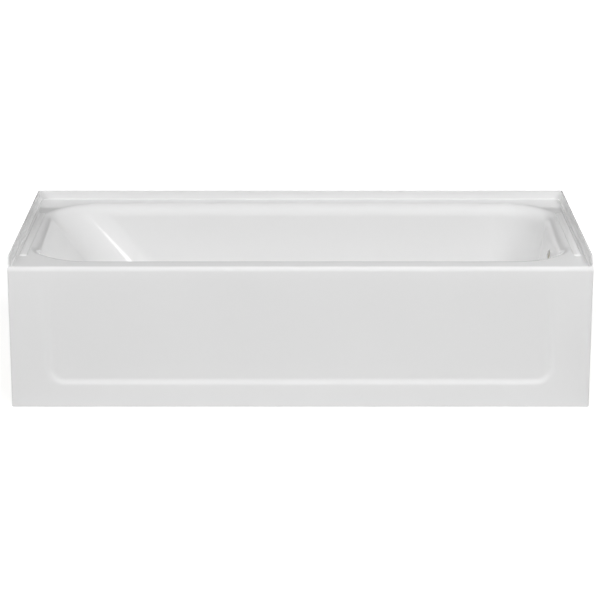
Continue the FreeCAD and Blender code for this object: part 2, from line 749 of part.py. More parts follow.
def make_apron_panel():
    """The acrylic apron: a recessed panel over a soft ledge, with its two ends turned back."""
    block = box("apron_block", (-HALF_LENGTH, -HALF_WIDTH, 0),
                (HALF_LENGTH, -HALF_WIDTH + S["apron_return"], LIP_FOOT))
    faced = cut("apron_faced", block, panel_recess("apron_recess", as_size(0)))
    return cut("apron_panel", faced, skin_back)


def make_apron_laminate():
    """The glass-fibre behind the apron, between its turned ends."""
    block = box("apron_laminate_block", (-HALF_LENGTH + S["acrylic"], -HALF_WIDTH, 0),
                (HALF_LENGTH - S["acrylic"], -HALF_WIDTH + S["apron_return"], LIP_FOOT))
    filled = overlap("apron_laminate_filled", block, skin_back)
    return cut("apron_laminate", filled, backing_back)


def make_apron_rail():
    """The timber along the foot of the apron."""
    back = -HALF_WIDTH + APRON_STACK
    return box("apron_rail", (-HALF_LENGTH + S["rail_inset"], back, 0),
               (HALF_LENGTH - S["rail_inset"], back + S["rail_width"], S["rail_height"]))


def make_apron_rib(name, x):
    """An upright timber behind the apron, shaped to the leaning panel."""
    top = DECK - SHELL_STACK - S["batten_height"]
    back = -HALF_WIDTH + APRON_STACK + S["panel_depth"] + S["rib_depth"]
    block = box(f"{name}_block", (x - S["rib_width"] / 2, -HALF_WIDTH, S["rail_height"]),
                (x + S["rib_width"] / 2, back, top))
    return overlap(name, block, backing_back)


# ---------------------------------------------------------------- timber under the deck

BATTEN_TOP = DECK - SHELL_STACK
BATTEN_FOOT = BATTEN_TOP - S["batten_height"]
FRONT_BATTEN_BACK = -(HALF_WIDTH - S["front_deck"]) - S["batten_clear"]
BACK_BATTEN_FRONT = HALF_WIDTH - S["back_deck"] + S["batten_clear"]
BATTEN_END = HALF_LENGTH - APRON_STACK


def make_deck_battens():
    """The four timbers under the deck, which carry its edge and take the rim's load."""
    front = box("deck_batten_front",
                (-BATTEN_END, FRONT_BATTEN_BACK - S["batten_width"], BATTEN_FOOT),
                (BATTEN_END, FRONT_BATTEN_BACK, BATTEN_TOP))
    back = box("deck_batten_back", (-BATTEN_END, BACK_BATTEN_FRONT, BATTEN_FOOT),
               (BATTEN_END, BACK_BATTEN_FRONT + S["batten_width"], BATTEN_TOP))
    inner = BATTEN_END - S["end_batten_width"]
    head = box("deck_batten_head", (-BATTEN_END, FRONT_BATTEN_BACK, BATTEN_FOOT),
               (-inner, BACK_BATTEN_FRONT, BATTEN_TOP))
    drain = box("deck_batten_drain", (inner, FRONT_BATTEN_BACK, BATTEN_FOOT),
                (BATTEN_END, BACK_BATTEN_FRONT, BATTEN_TOP))
    return [front, back, head, drain]


# ---------------------------------------------------------------- base board and leg bars


def board_underside(x):
    """Height of the base board's lower face at a place along the tub."""
    return floor_level(x) - (SHELL_STACK + S["board"]) / cosine(S["floor_fall_angle"])


def make_base_board():
    """The board bonded under the basin floor, open at its drain end round the waste."""
    body = doc.addObject("PartDesign::Body", "base_board")
    drop = SHELL_STACK / cosine(S["floor_fall_angle"])
    sketch = new_sketch(body, "base_board_outline", "XY_Plane", S["floor_height"] - drop,
                        S["floor_fall_angle"].value)
    sketch.setExpression("AttachmentOffset.Rotation.Angle", S["floor_fall_angle"].text)
    across = level_floor_inset(S["side_draft"]) + S["board_clear"]
    front = RIM_FRONT + across
    back = RIM_BACK - across
    notch_front = BASIN_Y - S["notch_width"] / 2
    notch_back = BASIN_Y + S["notch_width"] / 2
    notch_head = BOARD_DRAIN - S["notch_length"]
    polygon(sketch, [
        (BOARD_HEAD, front),
        (BOARD_DRAIN, front),
        (BOARD_DRAIN, notch_front),
        (notch_head, notch_front),
        (notch_head, notch_back),
        (BOARD_DRAIN, notch_back),
        (BOARD_DRAIN, back),
        (BOARD_HEAD, back),
    ])
    slab = pad(body, "base_board_pad", sketch, S["board"])
    slab.Reversed = True
    return body


def bar_top(x):
    """Height of a leg bar's upper face: the lowest point of the board over it."""
    return board_underside(x + S["bar_width"] / 2)


RAIL_BACK = -HALF_WIDTH + APRON_STACK + S["rail_width"]
BAR_FRONT = RAIL_BACK + S["bar_gap"]
BAR_BACK = BASIN_Y * 2 - BAR_FRONT


def foot_places():
    """The two feet of a leg bar, front and back."""
    return {"front": BAR_FRONT + S["bar_end"], "back": BAR_BACK - S["bar_end"]}


def make_leg_bar(name, x):
    """A steel channel across the tub, open side down, with a hole for each stud."""
    top = bar_top(x)
    half = S["bar_width"] / 2
    foot = top - S["bar_height"]
    outside = box(f"{name}_outside", (x - half, BAR_FRONT, foot), (x + half, BAR_BACK, top))
    inside = box(f"{name}_inside",
                 (x - half + S["bar_wall"], BAR_FRONT - OVERRUN, foot - OVERRUN),
                 (x + half - S["bar_wall"], BAR_BACK + OVERRUN, top - S["bar_wall"]))
    channel = cut(f"{name}_channel", outside, inside)
    radius = S["stud_radius"] + S["hole_clearance"]
    holes = [rod(f"{name}_{side}_hole", (x, y, foot), radius, S["bar_height"] * 2)
             for side, y in foot_places().items()]
    return cut(name, channel, join(f"{name}_holes", *holes))


# ---------------------------------------------------------------- levelling feet


def make_foot_pad(name, x, y):
    """The moulded pad that stands on the floor, with a socket for the end of the stud."""
    body = doc.addObject("PartDesign::Body", name)
    sketch = new_sketch(body, f"{name}_section", "XZ_Plane", 0)
    socket = S["stud_radius"]
    height = S["pad_height"] + S["pad_boss_height"]
    polygon(sketch, [
        (0, 0),
        (S["pad_radius"], 0),
        (S["pad_radius"] - S["pad_height"] / 6, S["pad_height"] / 2),
        (S["pad_boss_radius"] + S["pad_height"] / 2, S["pad_height"]),
        (S["pad_boss_radius"], S["pad_height"] * 1.3),
        (S["pad_boss_radius"], height),
        (socket, height),
        (socket, height - S["socket_depth"]),
        (0, height - S["socket_depth"]),
    ])
    turned = body.newObject("PartDesign::Revolution", f"{name}_turned")
    turned.Profile = sketch
    turned.ReferenceAxis = (sketch, ["V_Axis"])
    turned.Angle = 360.0
    place(body, x, y, 0)
    return body


def make_foot_stud(name, x, y):
    """The threaded stud, from its socket in the pad to above the upper nut."""
    foot = S["pad_height"] + S["pad_boss_height"] - S["socket_depth"]
    top = bar_top(x) + S["nut_height"] + S["stud_spare"]
    plain = rod(f"{name}_rod", (x, y, foot), S["stud_radius"], top - foot)
    bevel = S["stud_radius"] / 5
    doc.recompute()
    chamfer = doc.addObject("Part::Chamfer", name)
    chamfer.Base = plain
    chamfer.Edges = [(i, bevel.value, bevel.value)
                     for i, edge in enumerate(plain.Shape.Edges, start=1)
                     if level(edge, top.value)]
    return chamfer


def make_lock_nuts(name, x, y):
    """The two hexagonal nuts that clamp the stud to the leg bar, above and below its web."""
    top = bar_top(x)
    nuts = []
    for part, foot in (("upper", top), ("lower", top - S["bar_wall"] - S["nut_height"])):
        hexagon = doc.addObject("Part::Prism", f"{name}_{part}_hexagon")
        hexagon.Polygon = HEXAGON_SIDES
        bind(hexagon, Circumradius=S["nut_flats"] / 2 / cosine(HALF_TURN / HEXAGON_SIDES),
             Height=S["nut_height"])
        place(hexagon, x, y, foot)
        bore = rod(f"{name}_{part}_bore", (x, y, foot - OVERRUN),
                   S["stud_radius"] + S["thread_clearance"], S["nut_height"] + OVERRUN * 2)
        nuts.append(cut(f"{name}_{part}", hexagon, bore))
    return group(name, nuts)


# ---------------------------------------------------------------- apron brackets


def make_apron_bracket(name, x):
    """The bent steel strip that ties the foot of the apron to a leg bar."""
    wall = S["bracket_wall"]
    foot = bar_top(x)
    lap_end = BAR_FRONT + S["bracket_lap"]
    body = doc.addObject("PartDesign::Body", name)
    sketch = new_sketch(body, f"{name}_section", "YZ_Plane", x)
    low = S["rail_height"] - S["bracket_drop"]
    polygon(sketch, [
        (RAIL_BACK, low),
        (RAIL_BACK + wall, low),
        (RAIL_BACK + wall, foot),
        (lap_end, foot),
        (lap_end, foot + wall),
        (RAIL_BACK, foot + wall),
    ])
    pad(body, f"{name}_pad", sketch, S["bracket_width"], both_ways=True)
    return body


# ---------------------------------------------------------------- the assembly

sub_parts = {
    "tub_shell": make_shell(),
    "basin_laminate": make_laminate(),
    "apron_panel": make_apron_panel(),
    "apron_laminate": make_apron_laminate(),
    "apron_rail": make_apron_rail(),
    "base_board": make_base_board(),
}
for index, rib_x in enumerate(RIBS, start=1):
    sub_parts[f"apron_rib_{index}"] = make_apron_rib(f"apron_rib_{index}", rib_x)
for batten in make_deck_battens():
    sub_parts[batten.Name] = batten
for end, bar_x in LEG_BARS.items():
    sub_parts[f"leg_bar_{end}"] = make_leg_bar(f"leg_bar_{end}", bar_x)
    sub_parts[f"apron_bracket_{end}"] = make_apron_bracket(f"apron_bracket_{end}", bar_x)
    for side, foot_y in foot_places().items():
        corner = f"{end}_{side}"
        sub_parts[f"foot_pad_{corner}"] = make_foot_pad(f"foot_pad_{corner}", bar_x, foot_y)
        sub_parts[f"foot_stud_{corner}"] = make_foot_stud(f"foot_stud_{corner}", bar_x, foot_y)
        sub_parts[f"lock_nuts_{corner}"] = make_lock_nuts(f"lock_nuts_{corner}", bar_x, foot_y)

doc.recompute()
for name, item in sub_parts.items():
    item.Label = name

for item in doc.Objects:
    if "Invalid" in item.State or "Error" in item.State:
        raise RuntimeError(f"{item.Name} failed: {item.State}")
for name, item in sub_parts.items():
    if item.Shape.isNull() or not item.Shape.isValid():
        raise RuntimeError(f"{name} has no valid shape")
    if not item.Shape.Solids:
        raise RuntimeError(f"{name} has no solid")

os.makedirs("parts", exist_ok=True)
for name, item in sub_parts.items():
    item.Shape.exportStep(f"parts/{name}.step")
    print(f"{name}: {len(item.Shape.Solids)} solid, {item.Shape.Volume / 1000:.0f} cm3")
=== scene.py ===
"""Looks of the alcove bathtub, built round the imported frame.

Every class below is one sub-assembly or one finish of the tub. All sizes are in metres, in the
same frame as the solids: +X to the drain end, -Y the apron, +Z up, origin on the floor under the
middle of the tub.
"""

from __future__ import annotations

import logging
import math
from dataclasses import dataclass, field
from enum import Enum
from typing import Callable, Iterable, Sequence

import bmesh
import bpy
import numpy as np
from mathutils import Matrix, Vector

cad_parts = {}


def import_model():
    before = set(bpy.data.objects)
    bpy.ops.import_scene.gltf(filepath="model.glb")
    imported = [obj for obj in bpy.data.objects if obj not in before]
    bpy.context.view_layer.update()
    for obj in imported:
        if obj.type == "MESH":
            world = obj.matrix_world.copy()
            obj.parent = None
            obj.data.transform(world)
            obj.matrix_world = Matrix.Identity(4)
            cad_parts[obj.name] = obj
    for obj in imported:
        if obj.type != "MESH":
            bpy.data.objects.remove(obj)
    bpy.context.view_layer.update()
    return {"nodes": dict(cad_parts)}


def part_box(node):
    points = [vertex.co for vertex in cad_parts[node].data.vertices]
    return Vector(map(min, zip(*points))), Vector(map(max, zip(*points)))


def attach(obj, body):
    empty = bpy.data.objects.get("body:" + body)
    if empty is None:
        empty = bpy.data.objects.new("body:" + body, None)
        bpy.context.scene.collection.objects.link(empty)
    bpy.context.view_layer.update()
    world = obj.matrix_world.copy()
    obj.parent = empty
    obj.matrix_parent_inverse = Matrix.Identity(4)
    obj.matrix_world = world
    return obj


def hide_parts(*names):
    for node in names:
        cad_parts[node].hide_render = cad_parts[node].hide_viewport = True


LOG = logging.getLogger("bathtub")
TUB = "tub"
ENDS = ("head", "drain")
WHITE = (1.0, 1.0, 1.0, 1.0)
QUARTER = math.radians(90.0)

Point = tuple[float, float, float]
Face = tuple[int, ...]


class Slot(Enum):
    """The material slots of the pieces."""

    ACRYLIC = "white_acrylic"
    GLASS_FIBRE = "glass_fibre"
    BOARD = "particle_board"
    SOFTWOOD = "softwood"
    GALVANISED = "galvanised_steel"
    THREAD = "plated_thread"
    POLYMER = "grey_polymer"


class Grain(Enum):
    """The direction that a timber's grain runs in, as an index of the axis."""

    ALONG_X = 0
    ALONG_Y = 1
    ALONG_Z = 2


# ---------------------------------------------------------------- node trees


class NodeTree:
    """A node tree that is built one node at a time."""

    def __init__(self, tree: bpy.types.NodeTree) -> None:
        """Take a tree over.

        Args:
            tree: The tree that the nodes go into.
        """
        self.tree = tree

    def add(self, kind: str, output: int | str = 0, **values: object) -> bpy.types.NodeSocket:
        """Add a node.

        Args:
            kind: The node's type.
            output: Which of its outputs is wanted.
            values: Its sockets, with underscores for spaces, or its properties. A socket
                given as a value is linked.

        Returns:
            The socket of that output.
        """
        node = self.tree.nodes.new(kind)
        for key, value in values.items():
            if hasattr(node, key):
                setattr(node, key, value)
            else:
                self.join_up(value, node.inputs[key.replace("_", " ")])
        return node.outputs[output]

    def join_up(self, value: object, socket: bpy.types.NodeSocket) -> None:
        """Link a socket to another, or set it to a plain value."""
        if isinstance(value, bpy.types.NodeSocket):
            self.tree.links.new(value, socket)
        else:
            socket.default_value = value

    def math(self, operation: str, first: object, second: object) -> bpy.types.NodeSocket:
        """Work out a number from two others.

        Args:
            operation: What is done with them.
            first: The first number, or its socket.
            second: The second number, or its socket.

        Returns:
            The socket of the result.
        """
        result = self.add("ShaderNodeMath", "Value", operation=operation)
        for socket, value in zip(result.node.inputs, (first, second)):
            self.join_up(value, socket)
        return result


class ShaderTree(NodeTree):
    """A material's node tree with a principled shader."""

    def __init__(self, name: str) -> None:
        """Start a material.

        Args:
            name: The name of the new material.
        """
        self.material = bpy.data.materials.new(name)
        self.material.use_nodes = True
        super().__init__(self.material.node_tree)
        self.shader = self.tree.nodes["Principled BSDF"]
        self.coordinates = self.add("ShaderNodeTexCoord", "Object")

    def set(self, **values: object) -> None:
        """Set sockets of the shader, with underscores for spaces in their names."""
        for key, value in values.items():
            self.join_up(value, self.shader.inputs[key.replace("_", " ")])

    def stretched(self, scale: Point) -> bpy.types.NodeSocket:
        """Object coordinates multiplied along each axis."""
        return self.add("ShaderNodeMapping", Vector=self.coordinates, Scale=scale)

    def noise(self, scale: float, detail: float = 3.0, vector: object = None,
              roughness: float = 0.5) -> bpy.types.NodeSocket:
        """A cloud of values between nought and one.

        Args:
            scale: How many clouds there are to a metre.
            detail: How many finer layers it has.
            vector: The coordinates it reads, or None for the object's own.
            roughness: How strong the finer layers are.

        Returns:
            The socket of its value.
        """
        return self.add("ShaderNodeTexNoise", "Fac", Vector=vector or self.coordinates,
                        Scale=scale, Detail=detail, Roughness=roughness)

    def cells(self, scale: float, vector: object = None,
              output: str = "Distance") -> bpy.types.NodeSocket:
        """A pattern of irregular cells.

        Args:
            scale: How many cells there are to a metre.
            vector: The coordinates it reads, or None for the object's own.
            output: Which of the cells' outputs is wanted.

        Returns:
            The socket of that output.
        """
        return self.add("ShaderNodeTexVoronoi", output, Vector=vector or self.coordinates,
                        Scale=scale)

    def ramp(self, value: object, stops: Sequence[tuple[float, Sequence[float]]],
             ) -> bpy.types.NodeSocket:
        """Colours looked up by a value.

        Args:
            value: The socket that is looked up.
            stops: Places between nought and one, each with its colour.

        Returns:
            The socket of the colour.
        """
        result = self.add("ShaderNodeValToRGB", "Color", Fac=value)
        elements = result.node.color_ramp.elements
        while len(elements) < len(stops):
            elements.new(0.5)
        for element, (place, colour) in zip(elements, stops):
            element.position = place
            element.color = (*colour, 1.0)
        return result

    def between(self, value: object, low: float, high: float) -> bpy.types.NodeSocket:
        """A value stretched so that nought becomes the low and one the high."""
        return self.add("ShaderNodeMapRange", "Result", Value=value, To_Min=low, To_Max=high)

    def bump(self, height: object, distance: float, strength: float = 1.0,
             **under: object) -> bpy.types.NodeSocket:
        """Raise the surface by a height and feed the result to the shader.

        Args:
            height: The socket of the height, between nought and one.
            distance: The real height of one, in metres.
            strength: How much of it shows.
            under: Normal, the normal of a coarser bump below this one.

        Returns:
            The socket of the bumped normal.
        """
        normal = self.add("ShaderNodeBump", "Normal", Height=height, Distance=distance,
                          Strength=strength, **under)
        self.set(Normal=normal)
        return normal


# ---------------------------------------------------------------- finishes


@dataclass(frozen=True)
class AcrylicFinish:
    """Cast white acrylic, polished, with the faint waviness of a drawn sheet."""

    colour: Point = (0.89, 0.89, 0.89)
    polish: float = 0.07

    def make(self) -> bpy.types.Material:
        """Build the material."""
        tree = ShaderTree("white_acrylic")
        tree.set(IOR=1.49)
        tint = tree.ramp(tree.noise(2.5, 2.0), (
            (0.3, tuple(c * 0.985 for c in self.colour)), (0.7, self.colour)))
        haze = tree.between(tree.noise(14.0, 4.0), self.polish * 0.8, self.polish * 1.35)
        tree.set(Base_Color=tint, Roughness=haze)
        wave = tree.bump(tree.noise(9.0, 1.0), 0.0006, 0.04)
        tree.bump(tree.noise(420.0, 2.0), 0.00004, 0.25, Normal=wave)
        return tree.material


@dataclass(frozen=True)
class GlassFibreFinish:
    """Chopped glass strands rolled down in clear resin, hazy and uneven."""

    resin: Point = (0.62, 0.6, 0.47)
    strand: Point = (0.78, 0.77, 0.68)

    def make(self) -> bpy.types.Material:
        """Build the material."""
        tree = ShaderTree("glass_fibre")
        tree.set(IOR=1.54, Coat_Weight=0.35, Coat_Roughness=0.25)
        layers = enumerate(((900.0, 90.0, 300.0), (110.0, 800.0, 260.0), (380.0, 300.0, 60.0)))
        joined, *others = [tree.noise(1.0 + 0.15 * turn, 2.0, tree.stretched(scale))
                           for turn, scale in layers]
        for other in others:
            joined = tree.math("MAXIMUM", joined, other)
        tree.set(Base_Color=tree.ramp(joined, ((0.5, self.resin), (0.72, self.strand))),
                 Roughness=tree.between(tree.noise(60.0), 0.3, 0.62))
        coarse = tree.bump(tree.noise(45.0, 5.0), 0.0012, 0.7)
        tree.bump(joined, 0.0005, 0.8, Normal=coarse)
        return tree.material


@dataclass(frozen=True)
class TimberFinish:
    """Planed softwood with its year rings drawn out along the grain."""

    grain: Grain
    pale: Point = (0.6, 0.42, 0.22)
    dark: Point = (0.42, 0.24, 0.1)

    def _drawn_out(self, tree: ShaderTree, across: float, along: float) -> bpy.types.NodeSocket:
        """Coordinates with one factor across the grain and another along it.

        Args:
            tree: The tree that they are for.
            across: The factor across the grain.
            along: The factor along the grain.

        Returns:
            The socket of the coordinates.
        """
        scale = [across] * 3
        scale[self.grain.value] = along
        return tree.stretched(tuple(scale))

    def make(self) -> bpy.types.Material:
        """Build the material."""
        tree = ShaderTree(f"softwood_{self.grain.name.lower()}")
        rings = tree.noise(1.0, 4.0, self._drawn_out(tree, 38.0, 1.6), 0.55)
        pores = tree.noise(1.0, 3.0, self._drawn_out(tree, 900.0, 30.0))
        tint = tree.ramp(rings, ((0.36, self.dark), (0.47, self.pale), (0.56, self.dark),
                                 (0.62, self.pale), (0.75, self.pale)))
        tree.set(Base_Color=tint, Roughness=tree.between(pores, 0.55, 0.8))
        coarse = tree.bump(rings, 0.0005, 0.5)
        tree.bump(pores, 0.0002, 0.6, Normal=coarse)
        return tree.material


@dataclass(frozen=True)
class BoardFinish:
    """Chipboard sealed with resin."""

    chips: tuple[Point, ...] = ((0.38, 0.26, 0.13), (0.52, 0.38, 0.2), (0.63, 0.49, 0.29))
    chip_count: float = 230.0

    def make(self) -> bpy.types.Material:
        """Build the material."""
        tree = ShaderTree("particle_board")
        tree.set(Coat_Weight=0.3, Coat_Roughness=0.3)
        flat = tree.stretched((1.0, 1.7, 2.5))
        tint = tree.ramp(tree.cells(self.chip_count, flat, "Color"),
                         tuple(zip((0.25, 0.5, 0.75), self.chips)))
        tree.set(Base_Color=tint, Roughness=tree.between(tree.noise(80.0), 0.45, 0.7))
        tree.bump(tree.cells(self.chip_count, flat), 0.0003, 0.5)
        return tree.material


@dataclass(frozen=True)
class MetalFinish:
    """Plated steel: spangled where it is dipped, even where it is electroplated."""

    name: str
    dull: Point
    bright: Point
    spangle: float

    def make(self) -> bpy.types.Material:
        """Build the material."""
        tree = ShaderTree(self.name)
        flowers = tree.cells(self.spangle, None, "Color")
        tree.set(Metallic=1.0,
                 Base_Color=tree.ramp(flowers, ((0.2, self.dull), (0.8, self.bright))),
                 Roughness=tree.between(tree.noise(self.spangle * 0.8, 4.0), 0.28, 0.5))
        tree.bump(tree.noise(600.0, 2.0), 0.00005, 0.4)
        return tree.material


@dataclass(frozen=True)
class PolymerFinish:
    """Moulded dark polymer with a fine grain."""

    colour: Point = (0.035, 0.035, 0.038)

    def make(self) -> bpy.types.Material:
        """Build the material."""
        tree = ShaderTree("grey_polymer")
        worn = tuple(c * 1.8 for c in self.colour)
        tint = tree.ramp(tree.noise(40.0, 4.0), ((0.35, self.colour), (0.8, worn)))
        tree.set(Base_Color=tint, Roughness=tree.between(tree.noise(120.0), 0.42, 0.62))
        tree.bump(tree.noise(1600.0, 2.0), 0.00008, 0.7)
        return tree.material


@dataclass
class Finishes:
    """Every finish of the tub, made once."""

    acrylic: bpy.types.Material = field(default_factory=lambda: AcrylicFinish().make())
    glass_fibre: bpy.types.Material = field(default_factory=lambda: GlassFibreFinish().make())
    board: bpy.types.Material = field(default_factory=lambda: BoardFinish().make())
    polymer: bpy.types.Material = field(default_factory=lambda: PolymerFinish().make())
    galvanised: bpy.types.Material = field(default_factory=lambda: MetalFinish(
        "galvanised_steel", (0.5, 0.52, 0.54), (0.72, 0.74, 0.76), 90.0).make())
    thread: bpy.types.Material = field(default_factory=lambda: MetalFinish(
        "plated_thread", (0.62, 0.62, 0.58), (0.74, 0.73, 0.69), 260.0).make())
    timber: dict[Grain, bpy.types.Material] = field(default_factory=lambda: {
        grain: TimberFinish(grain).make() for grain in Grain})


# ---------------------------------------------------------------- meshes


def placed(name: str, data: bpy.types.ID) -> bpy.types.Object:
    """A new object in the scene, at the origin."""
    item = bpy.data.objects.new(name, data)
    bpy.context.scene.collection.objects.link(item)
    return item


def new_object(name: str, mesh: bpy.types.Mesh, material: bpy.types.Material,
               sharp_angle: float = 40.0) -> bpy.types.Object:
    """Put a mesh into the scene with one material and smooth shading.

    Args:
        name: The name of the piece.
        mesh: Its mesh, already in place.
        material: Its material.
        sharp_angle: Edges that turn more than this, in degrees, stay sharp.

    Returns:
        The new object, at the origin.
    """
    mesh.name = name
    mesh.materials.clear()
    mesh.materials.append(material)
    mesh.polygons.foreach_set("use_smooth", [True] * len(mesh.polygons))
    mesh.set_sharp_from_angle(angle=math.radians(sharp_angle))
    return placed(name, mesh)


def finish_piece(item: bpy.types.Object, body: str, slot: Slot, *nodes: str) -> bpy.types.Object:
    """Fasten a finished piece to its body, hide the solids that it stands for and name them in the
    log.

    Args:
        item: The piece.
        body: The body it moves with.
        slot: Not used.
        nodes: The solids that it replaces.

    Returns:
        The same piece.
    """
    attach(item, body)
    if nodes:
        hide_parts(*nodes)
    LOG.info("%s on %s, %d faces, for %s", item.name, body, len(item.data.polygons),
             ", ".join(nodes) or "no solid")
    return item


def baked(item: bpy.types.Object) -> bpy.types.Object:
    """Turn an object and its modifiers into a plain mesh and drop the modifiers.

    Args:
        item: The object.

    Returns:
        The same object.
    """
    graph = bpy.context.evaluated_depsgraph_get()
    graph.update()
    mesh = bpy.data.meshes.new_from_object(item.evaluated_get(graph), depsgraph=graph)
    old = item.data
    item.modifiers.clear()
    item.data = mesh
    if old.users == 0:
        bpy.data.meshes.remove(old)
    return item


@dataclass
class Surface:
    """An open sheet of points and faces whose faces look to the side that shows."""

    points: list[Point] = field(default_factory=list)
    faces: list[Face] = field(default_factory=list)

    def add(self, points: Iterable[Sequence[float]]) -> list[int]:
        """Add points.

        Args:
            points: The places to add.

        Returns:
            Their numbers.
        """
        start = len(self.points)
        self.points.extend(tuple(float(c) for c in point) for point in points)
        return list(range(start, len(self.points)))

    def strip(self, low: Sequence[int], high: Sequence[int], closed: bool = False,
              skip: Callable[[int], bool] | None = None) -> None:
        """Fill between two rows of the same length.

        Args:
            low: The row on the right of the walking direction.
            high: The row on its left.
            closed: Whether the rows are rings.
            skip: Tells which cells stay open.
        """
        count = len(low)
        for i in range(count if closed else count - 1):
            j = (i + 1) % count
            if skip is not None and skip(i):
                continue
            face = [low[i], low[j], high[j], high[i]]
            face = [v for k, v in enumerate(face) if v not in face[:k]]
            if len(face) > 2:
                self.faces.append(tuple(face))

    def zip(self, low: Sequence[int], high: Sequence[int], axis: int = 0) -> None:
        """Fill between two rows of different lengths that run the same way.

        Args:
            low: The row on the right of the walking direction.
            high: The row on its left.
            axis: The coordinate that both rows grow along.
        """
        i = j = 0
        while i < len(low) - 1 or j < len(high) - 1:
            next_low = self.points[low[i + 1]][axis] if i < len(low) - 1 else math.inf
            next_high = self.points[high[j + 1]][axis] if j < len(high) - 1 else math.inf
            if next_low <= next_high:
                self.faces.append((low[i], low[i + 1], high[j]))
                i += 1
            else:
                self.faces.append((low[i], high[j + 1], high[j]))
                j += 1

    def part(self, chosen: Iterable[Face]) -> tuple["Surface", list[int]]:
        """Take some of the faces out into a sheet of their own.

        Args:
            chosen: The faces to take.

        Returns:
            The new sheet, and the old number of each of its points.
        """
        chosen = list(chosen)
        used = sorted({v for face in chosen for v in face})
        number = {v: k for k, v in enumerate(used)}
        return Surface([self.points[v] for v in used],
                       [tuple(number[v] for v in face) for face in chosen]), used

    def mesh(self, name: str) -> bpy.types.Mesh:
        """The sheet as a mesh."""
        mesh = bpy.data.meshes.new(name)
        mesh.from_pydata(self.points, [], self.faces)
        mesh.update()
        return mesh

    def normals(self) -> np.ndarray:
        """The unit normal at every point.

        Returns:
            The normals, one row each.
        """
        mesh = self.mesh("normals")
        flat = np.zeros(len(mesh.vertices) * 3, np.float32)
        mesh.vertex_normals.foreach_get("vector", flat)
        bpy.data.meshes.remove(mesh)
        return flat.reshape(-1, 3).astype(float)

    def thickened(self, front: np.ndarray, back: np.ndarray, ease: float,
                  normals: np.ndarray) -> "Surface":
        """A closed wall between two offsets of the sheet, with eased open edges.

        Args:
            front: How far the side that shows is moved back at each point.
            back: How far the hidden side is moved back at each point.
            ease: The radius of the open edges, which grow by that much.
            normals: The unit normal at every point.

        Returns:
            The closed wall.
        """
        points = np.array(self.points)
        count = len(points)
        shown = points - normals * front[:, None]
        hidden = points - normals * back[:, None]
        wall = Surface([tuple(p) for p in shown] + [tuple(p) for p in hidden])
        wall.faces = list(self.faces)
        wall.faces += [tuple(v + count for v in reversed(face)) for face in self.faces]
        seen = {(face[k], face[(k + 1) % len(face)]) for face in self.faces
                for k in range(len(face))}
        rim = [(a, b) for a, b in sorted(seen) if (b, a) not in seen]
        outward = np.zeros((count, 3))
        for a, b in rim:
            along = points[b] - points[a]
            along /= np.linalg.norm(along)
            for v in (a, b):
                outward[v] += np.cross(along, normals[v])
        used = sorted({v for edge in rim for v in edge})
        directions = {v: outward[v] / max(np.linalg.norm(outward[v]), 1e-9) for v in used}
        steps = 3
        loops: list[dict[int, int]] = [{v: v for v in used}]
        for side, sign in ((shown, -1.0), (hidden, 1.0)):
            quarter = []
            for k in range(1, steps + 1):
                angle = QUARTER * k / steps
                quarter.append(dict(zip(used, wall.add(
                    side[v] + directions[v] * ease * math.sin(angle)
                    + sign * normals[v] * ease * (1 - math.cos(angle)) for v in used))))
            loops += quarter if sign < 0 else quarter[::-1]
        loops.append({v: v + count for v in used})
        for near, far in zip(loops, loops[1:]):
            wall.faces += [(near[b], near[a], far[a], far[b]) for a, b in rim]
        return wall


# ---------------------------------------------------------------- the bath itself


@dataclass
class Outline:
    """A rounded rectangle walked anticlockwise, seen from above."""

    low: tuple[float, float]
    high: tuple[float, float]
    head_corner: float
    drain_corner: float

    def walk(self, side: int, end: int, corner: int) -> tuple[np.ndarray, np.ndarray]:
        """Places and outward directions round the outline, from the front side's head end.

        Args:
            side: Steps along each long side.
            end: Steps along each short side.
            corner: Steps round each corner.

        Returns:
            The places and the outward directions, one row each.
        """
        x0, y0 = self.low
        x1, y1 = self.high
        head, drain = self.head_corner, self.drain_corner
        runs = (((x0 + head, y0), (x1 - drain, y0), side, -90.0, drain),
                ((x1, y0 + drain), (x1, y1 - drain), end, 0.0, drain),
                ((x1 - drain, y1), (x0 + head, y1), side, 90.0, head),
                ((x0, y1 - head), (x0, y0 + head), end, 180.0, head))
        places, outward = [], []
        for start, stop, steps, angle, radius in runs:
            turn = math.radians(angle)
            normal = np.array([math.cos(turn), math.sin(turn)])
            for k in range(steps):
                places.append(np.array(start) + (np.array(stop) - start) * k / steps)
                outward.append(normal)
            centre = np.array(stop) - normal * radius
            for k in range(corner):
                bend = turn + QUARTER * k / corner
                direction = np.array([math.cos(bend), math.sin(bend)])
                places.append(centre + direction * radius)
                outward.append(direction)
        return np.array(places), np.array(outward)


